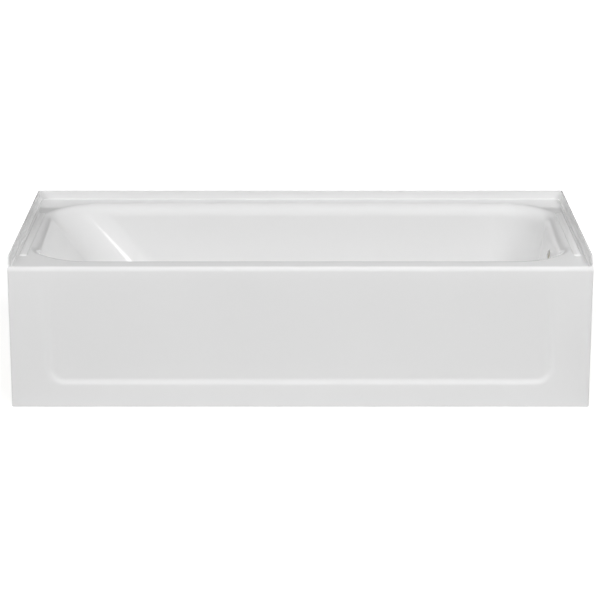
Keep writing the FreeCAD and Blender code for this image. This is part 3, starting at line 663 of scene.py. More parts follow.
@dataclass
class BathSkin:
    """The acrylic skin: basin, deck, tiling flange, front roll and apron as one sheet."""

    half_length: float = 0.762
    half_width: float = 0.381
    deck: float = 0.381
    flange_top: float = 0.4064
    wall: float = 0.004
    flange_root: float = 0.004
    back_root: float = 0.0012
    gutter: float = 0.0088
    gutter_dip: float = 0.0046
    gutter_thinning: float = 0.9
    flange_gap: float = 0.0015
    flange_lean: float = 18.0
    flange_round: float = 0.009
    front_roll: float = 0.0127
    roll_gap: float = 0.0023
    front_deck: float = 0.055
    back_deck: float = 0.047
    end_deck: float = 0.035
    rim_roll: float = 0.036
    rim_corner: float = 0.138
    deck_lead: float = 0.0012
    deck_shares: tuple[float, ...] = (0.12, 0.35, 0.65, 0.9, 1.0)
    side_draft: float = 6.0
    drain_draft: float = 8.5
    head_slope: float = 40.0
    floor_height: float = 0.090
    floor_fall: float = 0.6
    floor_round: float = 0.065
    floor_lead: float = 0.0018
    floor_edge: float = 0.001
    floor_shares: tuple[float, ...] = (0.03, 0.2, 0.4, 0.6, 0.8, 1.0)
    foot_corner: float = 0.118
    head_corner: float = 0.175
    drain_inset: float = 0.217
    drain_radius: float = 0.0254
    dish_mouth: float = 0.046
    dish_bed: float = 0.036
    dish_depth: float = 0.004
    dish_lip: float = 0.0012
    dish_reach: float = 0.02
    overflow_height: float = 0.300
    overflow_radius: float = 0.027
    overflow_rings: tuple[float, ...] = (0.033, 0.0305)
    panel_margin: float = 0.092
    panel_foot: float = 0.0595
    panel_depth: float = 0.008
    ledge_rise: float = 0.016
    panel_side_run: float = 0.022
    panel_corner: float = 0.050
    panel_top: float = 0.355
    panel_inside: float = 0.055
    panel_outside: float = 0.012
    panel_bend: float = 0.018
    apron_return: float = 0.025
    return_top: float = 0.3521
    return_shares: tuple[float, ...] = (0.2, 0.55, 0.93, 1.0)
    apron_corner: float = 0.0056
    corner_top: float = 0.3665
    corner_fade: float = 0.0145
    upper_rows: tuple[float, float] = (0.36, 0.352)
    lower_rows: tuple[float, ...] = (0.034, 0.02, 0.008, 0.0024)
    ease: float = 0.001
    basin_layer: float = 0.004
    apron_layer: float = 0.003
    layer_gap: float = 0.00004
    layer_wave: float = 0.0002
    layer_slack: float = 0.0003
    layer_ease: float = 0.0005
    layer_end: float = 0.7566
    layer_back: float = -0.3
    wall_shares: tuple[float, ...] = (0.03, 0.15, 0.3, 0.45, 0.58, 0.67, 0.76, 0.85, 0.94, 0.98)
    flange_shares: tuple[float, ...] = (0.25, 0.6, 0.92, 1.0)
    root_turns: tuple[float, ...] = tuple(math.radians(15.0 * k) for k in range(1, 7))
    side_steps: int = 56
    end_steps: int = 28
    corner_steps: int = 40

    def __post_init__(self) -> None:
        """Work out the basin's outlines and build the sheet."""
        self.sheet = Surface()
        shift = {name: math.tan(math.radians(90.0 - draft) / 2) for name, draft in (
            ("side", self.side_draft), ("drain", self.drain_draft), ("head", self.head_slope))}
        self.rim = Outline(
            (-(self.half_length - self.end_deck) + self.rim_roll * shift["head"],
             -(self.half_width - self.front_deck) + self.rim_roll * shift["side"]),
            (self.half_length - self.end_deck - self.rim_roll * shift["drain"],
             self.half_width - self.back_deck - self.rim_roll * shift["side"]),
            self.rim_corner, self.rim_corner)
        depth = self.deck - self.floor_height
        head_run, drain_run, side_run = (depth * math.tan(math.radians(a)) for a in (
            self.head_slope, self.drain_draft, self.side_draft))
        self.floor = Outline(
            (self.rim.low[0] + head_run, self.rim.low[1] + side_run),
            (self.rim.high[0] - drain_run, self.rim.high[1] - side_run),
            self.head_corner, self.foot_corner)
        self.basin_y = (self.rim.low[1] + self.rim.high[1]) / 2
        self.drain_x = self.half_length - self.drain_inset
        self._build()

    def floor_level(self, x: np.ndarray | float) -> np.ndarray | float:
        """Height of the sloping floor at a place along the tub."""
        return self.floor_height - x * math.tan(math.radians(self.floor_fall))

    # ------------------------------------------------------------ basin

    def _sections(self) -> dict[str, np.ndarray]:
        """Places, directions and slopes of the wall's section at each step of the outline.

        Returns:
            Arrays with one row for each step, by name.
        """
        steps = (self.side_steps, self.end_steps, self.corner_steps)
        rim, out = self.rim.walk(*steps)
        foot, _ = self.floor.walk(*steps)
        foot_z = self.floor_level(foot[:, 0])
        depth = self.deck - foot_z
        run = foot - rim
        tangent = np.stack([-out[:, 1], out[:, 0]], 1)
        return {
            "rim": rim, "out": out, "tangent": tangent, "foot": foot, "foot_z": foot_z,
            "slope": np.arctan2(-(run * out).sum(1), depth),
            "drift": (run * tangent).sum(1) / depth,
            "tilt": np.arctan(-math.tan(math.radians(self.floor_fall)) * out[:, 0]),
        }

    @staticmethod
    def _shifted(base: np.ndarray, base_z: np.ndarray, s: dict[str, np.ndarray],
                 outward: np.ndarray, upward: np.ndarray, sideways: np.ndarray) -> np.ndarray:
        """Places at a distance from a row of places.

        Args:
            base: The row's places, seen from above.
            base_z: Their heights.
            s: The sections at each step of the outline.
            outward: How far outward they go.
            upward: How far upward.
            sideways: How far along the outline.

        Returns:
            The places, one row each.
        """
        flat = base + s["out"] * outward[:, None] + s["tangent"] * sideways[:, None]
        return np.column_stack([flat, base_z + upward])

    def _basin_rings(self) -> list[np.ndarray]:
        """Rings of the basin and deck, from the waste hole out to the edge of the deck.

        Returns:
            The rings, each an array with one row for each place.
        """
        s = self._sections()
        # Rounding between floor and wall.
        turn = QUARTER - s["slope"] - s["tilt"]
        reach = self.floor_round * np.tan(turn / 2)
        centre_out = -np.cos(s["tilt"]) * reach - np.sin(s["tilt"]) * self.floor_round
        centre_up = -np.sin(s["tilt"]) * reach + np.cos(s["tilt"]) * self.floor_round
        rounding = []
        for k in range(13):
            angle = s["tilt"] + turn * k / 12
            outward = centre_out + self.floor_round * np.sin(angle)
            upward = centre_up - self.floor_round * np.cos(angle)
            rounding.append(self._shifted(s["foot"], s["foot_z"], s, outward, upward,
                                          -s["drift"] * np.maximum(upward, 0.0)))
        # Roll from the wall to the deck.
        top_turn = QUARTER - s["slope"]
        top_reach = self.rim_roll * np.tan(top_turn / 2)
        rim_z = np.full(len(s["rim"]), self.deck)
        roll = []
        for k in range(15):
            angle = top_turn * (1 - k / 14)
            outward = top_reach - self.rim_roll * np.sin(angle)
            drop = self.rim_roll * (1 - np.cos(angle))
            roll.append(self._shifted(s["rim"], rim_z, s, outward, -drop, s["drift"] * drop))
        # Wall between them.
        wall = [rounding[-1] * (1 - f) + roll[0] * f for f in self.wall_shares]
        # Floor out to that rounding.
        edge = rounding[0][:, :2]
        middle = np.array([self.drain_x, self.basin_y])
        away = edge - middle
        ray = np.unwrap(np.arctan2(away[:, 1], away[:, 0]))
        centre = self.side_steps + self.corner_steps + self.end_steps // 2
        even = ray[centre] + (np.arange(len(ray)) - centre) * 2 * math.pi / len(ray)
        ray = (ray + even) / 2
        away = np.column_stack([np.cos(ray), np.sin(ray)])
        rings = []
        for radius, sunk in self._dish_profile():
            ring = middle + away * radius
            level = self.floor_level(self.drain_x) - self.dish_depth
            plane = self.floor_level(ring[:, 0])
            rings.append(np.column_stack([ring, plane * (1 - sunk) + level * sunk]))
        mouth = middle + away * self.dish_mouth
        level = s["foot"] - s["out"] * (reach.max() + self.floor_lead)
        for share in self.floor_shares:
            ring = mouth * (1 - share) + level * share
            rings.append(np.column_stack([ring, self.floor_level(ring[:, 0])]))
        ring = edge - s["out"] * self.floor_edge
        rings.append(np.column_stack([ring, self.floor_level(ring[:, 0])]))
        rings += rounding + wall + roll
        # Deck out to the flange and the front roll.
        start = roll[-1]
        outer = self._deck_edge()
        rings.append(start + np.column_stack([s["out"] * self.deck_lead,
                                              np.zeros(len(start))]))
        rings += [rings[-1] * (1 - f) + outer * f for f in self.deck_shares]
        self.wall_start = len(rings) - len(roll) - len(wall) - 6
        return rings

    def _dish_profile(self) -> list[tuple[float, float]]:
        """Radius and share of the depth for each ring of the waste recess.

        Returns:
            The radius and the share, ring by ring.
        """
        hole = self.drain_radius + self.ease
        width = self.dish_mouth - self.dish_bed
        side = [(self.dish_bed + width * k / 8, 0.5 + 0.5 * math.cos(math.pi * k / 8))
                for k in range(9)]
        return [(hole, 1.0), (hole + self.dish_lip, 1.0), (self.dish_bed - 0.001, 1.0), *side]

    @property
    def deck_x(self) -> float:
        """Where the end decks meet the root of the flange."""
        return self.half_length - self.wall - self.gutter

    @property
    def deck_back(self) -> float:
        """Where the back deck meets the root of the flange."""
        return self.half_width - self.wall - self.back_root

    @property
    def deck_front(self) -> float:
        """Where the front deck ends, a little behind the front roll."""
        return -self.half_width + self.front_roll + self.roll_gap

    def _deck_edge(self) -> np.ndarray:
        """The deck's outer rectangle, with as many steps as the basin's outline.

        Returns:
            The places along it, one row each.
        """
        spread = 4.2
        half = self.corner_steps // 2
        lengths = [math.sinh(spread * k / half) / math.sinh(spread) for k in range(half + 1)]
        rim, _ = self.rim.walk(self.side_steps, self.end_steps, self.corner_steps)
        corners = ((self.deck_x, self.deck_front), (self.deck_x, self.deck_back),
                   (-self.deck_x, self.deck_back), (-self.deck_x, self.deck_front))
        edge = np.zeros((len(rim), 3))
        index = 0
        for number, corner in enumerate(corners):
            along_x = number % 2 == 0
            steps = self.side_steps if along_x else self.end_steps
            fixed = corner[1] if along_x else corner[0]
            for _ in range(steps):
                edge[index] = ((rim[index][0], fixed, self.deck) if along_x
                               else (fixed, rim[index][1], self.deck))
                index += 1
            # The corner of the outline becomes two straight legs that meet in the corner.
            first = rim[index]
            after = rim[(index + self.corner_steps) % len(rim)]
            leg_in = abs((corner[0] - first[0]) if along_x else (corner[1] - first[1]))
            leg_out = abs((corner[1] - after[1]) if along_x else (corner[0] - after[0]))
            sign_x, sign_y = (math.copysign(1.0, place) for place in corner)
            for k in range(self.corner_steps):
                back = leg_in * lengths[half - k] if k <= half else 0.0
                on = leg_out * lengths[k - half] if k > half else 0.0
                in_x, in_y = (back, on) if along_x else (on, back)
                edge[index] = (corner[0] - sign_x * in_x, corner[1] - sign_y * in_y, self.deck)
                index += 1
        return edge

    def _overflow_patch(self, rows: list[list[int]]) -> None:
        """Fill the opening left in the drain-end wall with rings round the overflow hole.

        Args:
            rows: The rings of the wall between which the opening lies, lowest first.
        """
        first, last = self.overflow_columns
        border = [rows[0][k] for k in range(first, last + 1)]
        border += [row[last] for row in rows[1:-1]]
        border += [rows[-1][k] for k in range(last, first - 1, -1)]
        border += [row[first] for row in rows[-2:0:-1]]
        tilt = math.radians(self.drain_draft)
        rim = self.overflow_radius + self.ease
        wall_x = self.rim.high[0] - (self.deck - self.overflow_height) * math.tan(tilt)
        centre = np.array([wall_x, self.basin_y, self.overflow_height])
        across = np.array([0.0, 1.0, 0.0])
        up = np.array([math.sin(tilt), 0.0, math.cos(tilt)])
        angles = []
        for vertex in border:
            offset = np.array(self.sheet.points[vertex]) - centre
            angles.append(math.atan2(offset @ up, offset @ across))
        angles = list(np.unwrap(angles))
        angles.append(angles[0] + 2 * math.pi)
        split = 3
        fine = [angles[k] + (angles[k + 1] - angles[k]) * m / split
                for k in range(len(border)) for m in range(split)]
        rings = [self.sheet.add(centre + across * radius * math.cos(a)
                                + up * radius * math.sin(a) for a in fine)
                 for radius in (*self.overflow_rings,
                                self.overflow_radius + 2.2 * self.ease, rim)]
        outer = rings[0]
        for k in range(len(border)):
            arc = [outer[(k * split + m) % len(outer)] for m in range(split + 1)]
            self.sheet.faces.append((border[(k + 1) % len(border)], border[k], *arc))
        for wide, narrow in zip(rings, rings[1:]):
            self.sheet.strip(wide[::-1], narrow[::-1], True)

    @property
    def overflow_columns(self) -> tuple[int, int]:
        """First and last step of the outline beside the overflow hole."""
        middle = self.side_steps + self.corner_steps + self.end_steps // 2
        return middle - 4, middle + 4

    # ------------------------------------------------------------ flange

    def flange_rise(self, y: float) -> float:
        """Height of the side flange above the deck.

        Args:
            y: The place front to back.

        Returns:
            The height there, or nought in front of the flange.
        """
        full = self.flange_top - self.ease - self.deck
        foot = -self.half_width + self.front_roll + self.flange_gap
        lean = math.tan(math.radians(self.flange_lean))
        tip = foot + lean * full
        reach = self.flange_round * math.tan(math.radians(90.0 - self.flange_lean) / 2)
        arc_end = tip + reach
        arc_start = tip - reach * math.sin(math.radians(self.flange_lean))
        if y <= foot:
            return 0.0
        if y <= arc_start:
            return (y - foot) / lean
        if y >= arc_end:
            return full
        drop = self.flange_round - math.sqrt(self.flange_round ** 2 - (arc_end - y) ** 2)
        return full - drop

    def _flange_row(self, toe: Sequence[float], direction: Sequence[float],
                    rise: float) -> list[np.ndarray]:
        """One section through the flange.

        Args:
            toe: Where the deck ends.
            direction: The way out from the deck.
            rise: The flange's height above the deck there.

        Returns:
            Its places, from the first step past the toe to the top.
        """
        toe = np.array(toe)
        outward = np.array([*direction, 0.0])
        up = np.array([0.0, 0.0, 1.0])
        reach = np.array([direction[0] * self.gutter, direction[1] * self.back_root, 0.0])
        root = math.hypot(direction[0] * self.flange_root, direction[1] * self.back_root)
        raised = min(1.0, rise / root)
        dip = self.gutter_dip * direction[0] ** 2 * raised
        standing = min(1.0, rise / (root * 1.4))
        row = [toe + reach * math.sin(angle)
               + up * (root * (1 - math.cos(angle)) * raised - dip * math.sin(2 * angle))
               for angle in self.root_turns]
        foot = root * raised
        for share in self.flange_shares:
            spread = (self.wall - self.ease) * share * (1 - standing)
            row.append(toe + reach + outward * spread + up * (foot + (rise - foot) * share))
        return row

    def _flange(self, ring: list[int], front_right: list[int], front_left: list[int]) -> None:
        """The flange along both ends and the back.

        Args:
            ring: The outer ring of the deck.
            front_right: Toe and section of the front grid's row at the drain end.
            front_left: Toe and section of the front grid's row at the head end.
        """
        half = self.corner_steps // 2
        start = self.side_steps + half
        stop = len(ring) - half
        back_right = self.side_steps + self.corner_steps + self.end_steps + half
        back_left = back_right + self.corner_steps + self.side_steps
        rows = [front_right]
        for index in range(start, stop + 1):
            vertex = ring[index]
            toe = self.sheet.points[vertex]
            passed = (index > back_right) + (index > back_left)
            steps = 7 if index in (back_right, back_left) else 1
            for turn in (math.radians(90.0 * passed + 15.0 * k) for k in range(steps)):
                section = self._flange_row(toe, (math.cos(turn), math.sin(turn)),
                                           self.flange_rise(toe[1]))
                rows.append([vertex] + self.sheet.add(section))
        rows.append(front_left)
        for near, far in zip(rows, rows[1:]):
            self.sheet.strip(near, far)

    # ------------------------------------------------------------ apron

    def panel_sink(self, x: float, z: float) -> float:
        """How far the recessed panel lies behind the apron's face.

        Args:
            x: The place along the tub.
            z: Its height.

        Returns:
            The depth there, or nought outside the panel.
        """
        inside_x = self.half_length - self.panel_margin - abs(x)
        inside_z = z - self.panel_foot
        radius = self.panel_corner
        corner_x, corner_z = max(radius - inside_x, 0.0), max(radius - inside_z, 0.0)
        share = 1.0 if inside_z < inside_x else 0.0
        depth = min(inside_x, inside_z)
        if corner_x > 0 and corner_z > 0:
            away = math.hypot(corner_x, corner_z)
            depth = radius - away
            share = (corner_z / away) ** 2
        run = self.panel_side_run + (self.ledge_rise - self.panel_side_run) * share
        step = min(max(depth / run, 0.0), 1.0)
        bed_foot = self.panel_foot + self.ledge_rise
        bed = min(max((self.panel_top - z) / (self.panel_top - bed_foot), 0.0), 1.0)
        return self.panel_depth * bed * (0.5 - 0.5 * math.cos(math.pi * step))

    def _front_columns(self) -> list[float]:
        """Places along the front between the two flanges, denser at the panel's sides.

        Returns:
            The places, from the head end to the drain end.
        """
        side = self.half_length - self.panel_margin
        inside, outside = side - self.panel_inside, side + self.panel_outside
        middle = list(np.linspace(0.0, inside, 15))
        dense = list(np.linspace(inside, outside, 24))[1:]
        outer = list(np.linspace(outside, self.deck_x, 7))[1:-1]
        right = middle[1:] + dense + outer
        return [-x for x in reversed(right)] + [0.0] + right

    def _front_rows(self) -> list[tuple[float, float]]:
        """Y and Z of each row, from the deck over the front roll to the floor.

        Returns:
            The two places of each row.
        """
        rows = []
        for k in range(11):
            angle = QUARTER * k / 10
            rows.append((-self.half_width + self.front_roll * (1 - math.sin(angle)),
                         self.deck - self.front_roll * (1 - math.cos(angle))))
        low = self.panel_foot - self.panel_outside
        high = self.panel_foot + self.panel_corner + self.panel_bend
        first, second = self.upper_rows
        heights = [self.corner_top, first, *np.linspace(second, high, 13),
                   *np.linspace(high, low, 24)[1:], *self.lower_rows, self.ease]
        return rows + [(-self.half_width, z) for z in heights]

    def _end_column(self, share: float, z: float) -> tuple[float, float]:
        """Distance out from the flange's toe and back from the face, for the outermost columns.

        Args:
            share: Share of the way from the toe to the outer edge.
            z: Height of the row.

        Returns:
            The distance out and the distance back.
        """
        blend = min(max((self.corner_top - z) / self.corner_fade, 0.0), 1.0)
        radius = self.apron_corner * blend
        width = self.half_length - self.deck_x - self.ease * (1 - blend)
        length = width - radius + math.pi / 2 * radius
        along = share * length
        if along <= width - radius or radius == 0.0:
            return along, 0.0
        angle = (along - (width - radius)) / radius
        return width - radius + radius * math.sin(angle), radius * (1 - math.cos(angle))

    def _front(self, ring: list[int]) -> tuple[list[int], list[int]]:
        """Front roll, apron and its turned ends.

        Args:
            ring: The outer ring of the deck.

        Returns:
            The first row's points at the drain end and at the head end, from the toe outward.
        """
        columns = self._front_columns()
        ends = [math.sin(turn) * self.gutter for turn in self.root_turns]
        ends += [self.gutter + (self.wall - self.ease) * share for share in self.flange_shares]
        shares = [value / ends[-1] for value in ends]
        grid = []
        for y, z in self._front_rows():
            sides = [self._end_column(share, z) for share in shares]
            row = [(-self.deck_x - out, y + back, z) for out, back in reversed(sides)]
            row.append((-self.deck_x, y, z))
            row += [(x, y + self.panel_sink(x, z), z) for x in columns]
            row.append((self.deck_x, y, z))
            row += [(self.deck_x + out, y + back, z) for out, back in sides]
            grid.append(self.sheet.add(row))
        for upper, lower in zip(grid, grid[1:]):
            self.sheet.strip(lower, upper)
        count = len(shares)
        half = self.corner_steps // 2
        self.sheet.zip(grid[0][count:-count], ring[-half:] + ring[:self.side_steps + half + 1])
        self._returns(grid)
        return grid[0][-count - 1:], grid[0][:count + 1][::-1]

    def _returns(self, grid: list[list[int]]) -> None:
        """Turn the apron's ends back along the end walls.

        Args:
            grid: The front's rows of points, from the deck down.
        """
        depth = self.apron_return - self.ease
        start = self.apron_corner
        rows = [row for row in grid if self.sheet.points[row[0]][2] <= self.return_top]
        for side, column in ((1, -1), (-1, 0)):
            lines = [[row[column] for row in rows]]
            for share in self.return_shares:
                back = -self.half_width + start + (depth - start) * share
                lines.append(self.sheet.add(
                    (side * self.half_length, back, self.sheet.points[row[column]][2])
                    for row in rows))
            for pair in zip(lines, lines[1:]):
                self.sheet.strip(*pair[::side])

    # ------------------------------------------------------------ whole

    def _build(self) -> None:
        """Join the basin, the flange and the front into one sheet."""
        rings = [self.sheet.add(ring) for ring in self._basin_rings()]
        bottom = self.wall_start + self.wall_shares.index(0.58)
        top = self.wall_start + self.wall_shares.index(0.94)
        first, last = self.overflow_columns
        for number, (inner, outer) in enumerate(zip(rings, rings[1:])):
            opening = bottom <= number < top
            self.sheet.strip(outer, inner, True,
                             (lambda i: first <= i < last) if opening else None)
        self._overflow_patch(rings[bottom:top + 1])
        self.basin_faces = len(self.sheet.faces)
        right, left = self._front(rings[-1])
        self.front_faces = len(self.sheet.faces)
        self._flange(rings[-1], right, left)
        self.sheet, _ = self.sheet.part(self.sheet.faces)

    def _wall_normals(self) -> np.ndarray:
        """The sheet's normals, set to given directions where the hidden side would fold on itself.

        Returns:
            The unit normal at every point.
        """
        normals = self.sheet.normals()
        points = np.array(self.sheet.points)
        reach = np.hypot(points[:, 0] - self.drain_x, points[:, 1] - self.basin_y)
        near = ((reach < self.dish_mouth + self.dish_reach)
                & (points[:, 2] < self.floor_height + self.dish_reach / 2))
        flat = np.abs(points[:, 2] - self.deck) < 1e-6
        normals[near | flat] = (0.0, 0.0, 1.0)
        side = np.sign(points[:, 0])
        away = np.stack((points[:, 0] - side * (self.half_length - self.apron_corner),
                         points[:, 1] + self.half_width - self.apron_corner,
                         np.zeros(len(points))), axis=1)
        turned = ((away[:, 0] * side > -1e-6) & (away[:, 1] < 1e-6)
                  & (points[:, 2] < self.return_top))
        normals[turned] = away[turned] / self.apron_corner
        return normals

    def make(self, material: bpy.types.Material) -> bpy.types.Object:
        """The skin as a closed wall.

        Args:
            material: The acrylic.

        Returns:
            The finished piece.
        """
        normals = self._wall_normals()
        points = np.array(self.sheet.points)
        # The sheet is thinner under the gutter at the foot of the side flanges.
        foot = -self.half_width + self.front_roll + self.flange_gap
        ends = np.abs(points[:, 0])
        in_gutter = ((ends > self.deck_x) & (ends < self.half_length - self.wall + 1e-5)
                     & (points[:, 1] > foot))
        sunk = np.where(in_gutter, np.clip(self.deck - points[:, 2], 0.0, self.gutter_dip), 0.0)
        wall = self.sheet.thickened(np.zeros(len(points)), self.wall - sunk * self.gutter_thinning,
                                    self.ease, normals)
        item = new_object("bath_skin", wall.mesh("bath_skin"), material, 75.0)
        return finish_piece(item, TUB, Slot.ACRYLIC, "tub_shell", "apron_panel")

    def lay_up(self, name: str, node: str, faces: Iterable[Face], thickness: float,
               material: bpy.types.Material) -> bpy.types.Object:
        """Glass fibre laid on the hidden side of some of the skin's faces.

        Args:
            name: The name of the piece.
            node: The solid that it stands for.
            faces: The faces of the skin that it is laid on.
            thickness: How thick it is, about.
            material: The glass fibre.

        Returns:
            The finished piece.
        """
        sheet, used = self.sheet.part(faces)
        normals = self._wall_normals()[used]
        points = np.array(sheet.points)
        uneven = (np.sin(points[:, 0] * 41) * np.sin(points[:, 1] * 57 + points[:, 2] * 33)
                  + 0.6 * np.sin(points[:, 0] * 163 + 1) * np.sin(points[:, 2] * 149
                                                                   + points[:, 1] * 131))
        front = np.full(len(points), self.wall + self.layer_gap)
        back = self.wall + thickness + self.layer_wave * uneven - self.layer_slack
        wall = sheet.thickened(front, back, self.layer_ease, normals)
        item = new_object(name, wall.mesh(name), material, 75.0)
        return finish_piece(item, TUB, Slot.GLASS_FIBRE, node)

    def lay_ups(self, material: bpy.types.Material) -> list[bpy.types.Object]:
        """The glass fibre under the basin and behind the apron.

        Args:
            material: The glass fibre.

        Returns:
            The two finished pieces.
        """
        basin = self.sheet.faces[:self.basin_faces]
        apron = [face for face in self.sheet.faces[self.basin_faces:self.front_faces]
                 if all(self.sheet.points[v][2] < self.return_top
                        and abs(self.sheet.points[v][0]) < self.layer_end
                        and self.sheet.points[v][1] < self.layer_back for v in face)]
        return [self.lay_up(f"{part}_lay_up", f"{part}_laminate", faces, thickness, material)
                for part, faces, thickness in (("basin", basin, self.basin_layer),
                                               ("apron", apron, self.apron_layer))]


@dataclass
class DeckStrips:
    """The raised strip on each end deck, with a cove at its foot."""

    centre_x: float = 0.7338
    front: float = -0.263
    back: float = 0.211
    half_width: float = 0.0102
    height: float = 0.0035
    edge: float = 0.002
    cove: float = 0.0012
    crown: float = 0.0014
    sunk: float = 0.001
    deck: float = 0.381

    def _ring(self, centre: float, inset: float, z: float) -> list[Point]:
        """One ring of a strip.

        Args:
            centre: The strip's place along the tub.
            inset: How far the ring is moved in from the strip's side.
            z: The ring's height.

        Returns:
            The places round the ring.
        """
        radius = self.half_width - inset
        ring = []
        for middle, start in ((self.back - self.half_width, 0.0),
                              (self.front + self.half_width, 180.0)):
            for k in range(25):
                angle = math.radians(start + 7.5 * k)
                ring.append((centre + radius * math.cos(angle),
                             middle + radius * math.sin(angle), z))
        return ring

    def _profile(self) -> list[tuple[float, float]]:
        """Inset and height of each ring, from below the deck to the domed top.

        Returns:
            The inset and the height above the deck, ring by ring.
        """
        rings = [(-self.cove, -self.sunk), (-self.cove, 0.0)]
        for k in range(1, 5):
            angle = math.radians(22.5 * k)
            rings.append((-self.cove * (1 - math.sin(angle)), self.cove * (1 - math.cos(angle))))
        shoulder = self.height - self.crown
        for k in range(7):
            angle = math.radians(12.0 * k)
            rings.append((self.edge * (1 - math.cos(angle)),
                          shoulder - self.edge * (1 - math.sin(angle))))
        start, level = rings[-1]
        reach = self.half_width - start
        for k in range(1, 9):
            share = k / 9
            rings.append((start + reach * share,
                          level + (self.height - level) * math.sin(QUARTER * share)))
        return rings

    def make(self, material: bpy.types.Material) -> list[bpy.types.Object]:
        """Both strips.

        Args:
            material: The acrylic.

        Returns:
            The two finished pieces.
        """
        pieces = []
        for name, side in (("head", -1), ("drain", 1)):
            sheet = Surface()
            rows = [sheet.add(self._ring(side * self.centre_x, inset, self.deck + z))
                    for inset, z in self._profile()]
            for low, high in zip(rows, rows[1:]):
                sheet.strip(low, high, True)
            count = len(rows[0])
            for row, turn in ((rows[0], -1), (rows[-1], 1)):
                for k in range(count // 2 - 1):
                    face = (row[k], row[k + 1], row[count - 2 - k], row[count - 1 - k])
                    sheet.faces.append(face[::turn])
            item = new_object(f"deck_strip_{name}", sheet.mesh(name), material, 60.0)
            pieces.append(finish_piece(item, TUB, Slot.ACRYLIC))
        return pieces


# ---------------------------------------------------------------- shapes that repeat


@dataclass
class ShapeTree(NodeTree):
    """A geometry tree whose sizes are named inputs."""

    name: str
    sizes: dict[str, tuple[str, object]]

    def __post_init__(self) -> None:
        """Make the tree's inputs and its output."""
        self.tree = bpy.data.node_groups.new(self.name, "GeometryNodeTree")
        face = self.tree.interface
        face.new_socket(name="Geometry", in_out="OUTPUT", socket_type="NodeSocketGeometry")
        face.new_socket(name="Geometry", in_out="INPUT", socket_type="NodeSocketGeometry")
        self.sockets = {label: face.new_socket(name=label, in_out="INPUT",
                                               socket_type=f"NodeSocket{kind}")
                        for label, (kind, _) in self.sizes.items()}
        self.entry = self.tree.nodes.new("NodeGroupInput")
        self.way_out = self.tree.nodes.new("NodeGroupOutput")

    def given(self, label: str = "Geometry") -> bpy.types.NodeSocket:
        """The socket of a named input."""
        return self.entry.outputs[label]

    def join(self, *parts: bpy.types.NodeSocket) -> bpy.types.NodeSocket:
        """Put several geometries together."""
        node = self.tree.nodes.new("GeometryNodeJoinGeometry")
        for part in parts:
            self.tree.links.new(part, node.inputs[0])
        return node.outputs[0]

    def end(self, geometry: bpy.types.NodeSocket, material: bpy.types.Material) -> None:
        """Close the tree with real geometry and its material."""
        real = self.add("GeometryNodeRealizeInstances", Geometry=geometry)
        dressed = self.add("GeometryNodeSetMaterial", Geometry=real, Material=material)
        self.tree.links.new(dressed, self.way_out.inputs[0])

    def run(self, start: bpy.types.Mesh) -> bpy.types.Mesh:
        """Run the tree on a mesh.

        Args:
            start: The mesh that goes in.

        Returns:
            The plain mesh that comes out.
        """
        item = placed(self.name, start)
        modifier = item.modifiers.new(self.name, "NODES")
        modifier.node_group = self.tree
        for label, (_, value) in self.sizes.items():
            modifier[self.sockets[label].identifier] = value
        item = baked(item)
        mesh = item.data
        bpy.data.objects.remove(item)
        return mesh


def turned(profile: Sequence[tuple[float, float]], steps: int,
           radius: Callable[[float, float, float], float] | None = None,
           height: Callable[[float, float, float], float] | None = None) -> Surface:
    """A closed ring or solid of revolution about the Z axis.

    Args:
        profile: Radius and height of each ring, with the solid on the left of the walk up
            its outside. A ring of no radius is a pole, and without poles the walk closes.
        steps: How many steps there are round it.
        radius: Changes a radius by the angle, radius and height.
        height: Changes a height by the angle, radius and height.

    Returns:
        The closed surface.
    """
    sheet = Surface()
    rows = []
    for r, z in profile:
        if r == 0.0:
            rows.append(sheet.add([(0.0, 0.0, z)]) * steps)
            continue
        ring = []
        for k in range(steps):
            angle = 2 * math.pi * k / steps
            at = radius(angle, r, z) if radius else r
            up = height(angle, r, z) if height else z
            ring.append((at * math.cos(angle), at * math.sin(angle), up))
        rows.append(sheet.add(ring))
    if profile[0][0] > 0.0:
        rows.append(rows[0])
    for low, high in zip(rows, rows[1:]):
        sheet.strip(low, high, True)
    return sheet


def moved(mesh: bpy.types.Mesh, x: float, y: float, z: float) -> bpy.types.Mesh:
    """The same mesh, shifted."""
    mesh.transform(Matrix.Translation((x, y, z)))
    mesh.update()
    return mesh


# ---------------------------------------------------------------- what holds the tub up


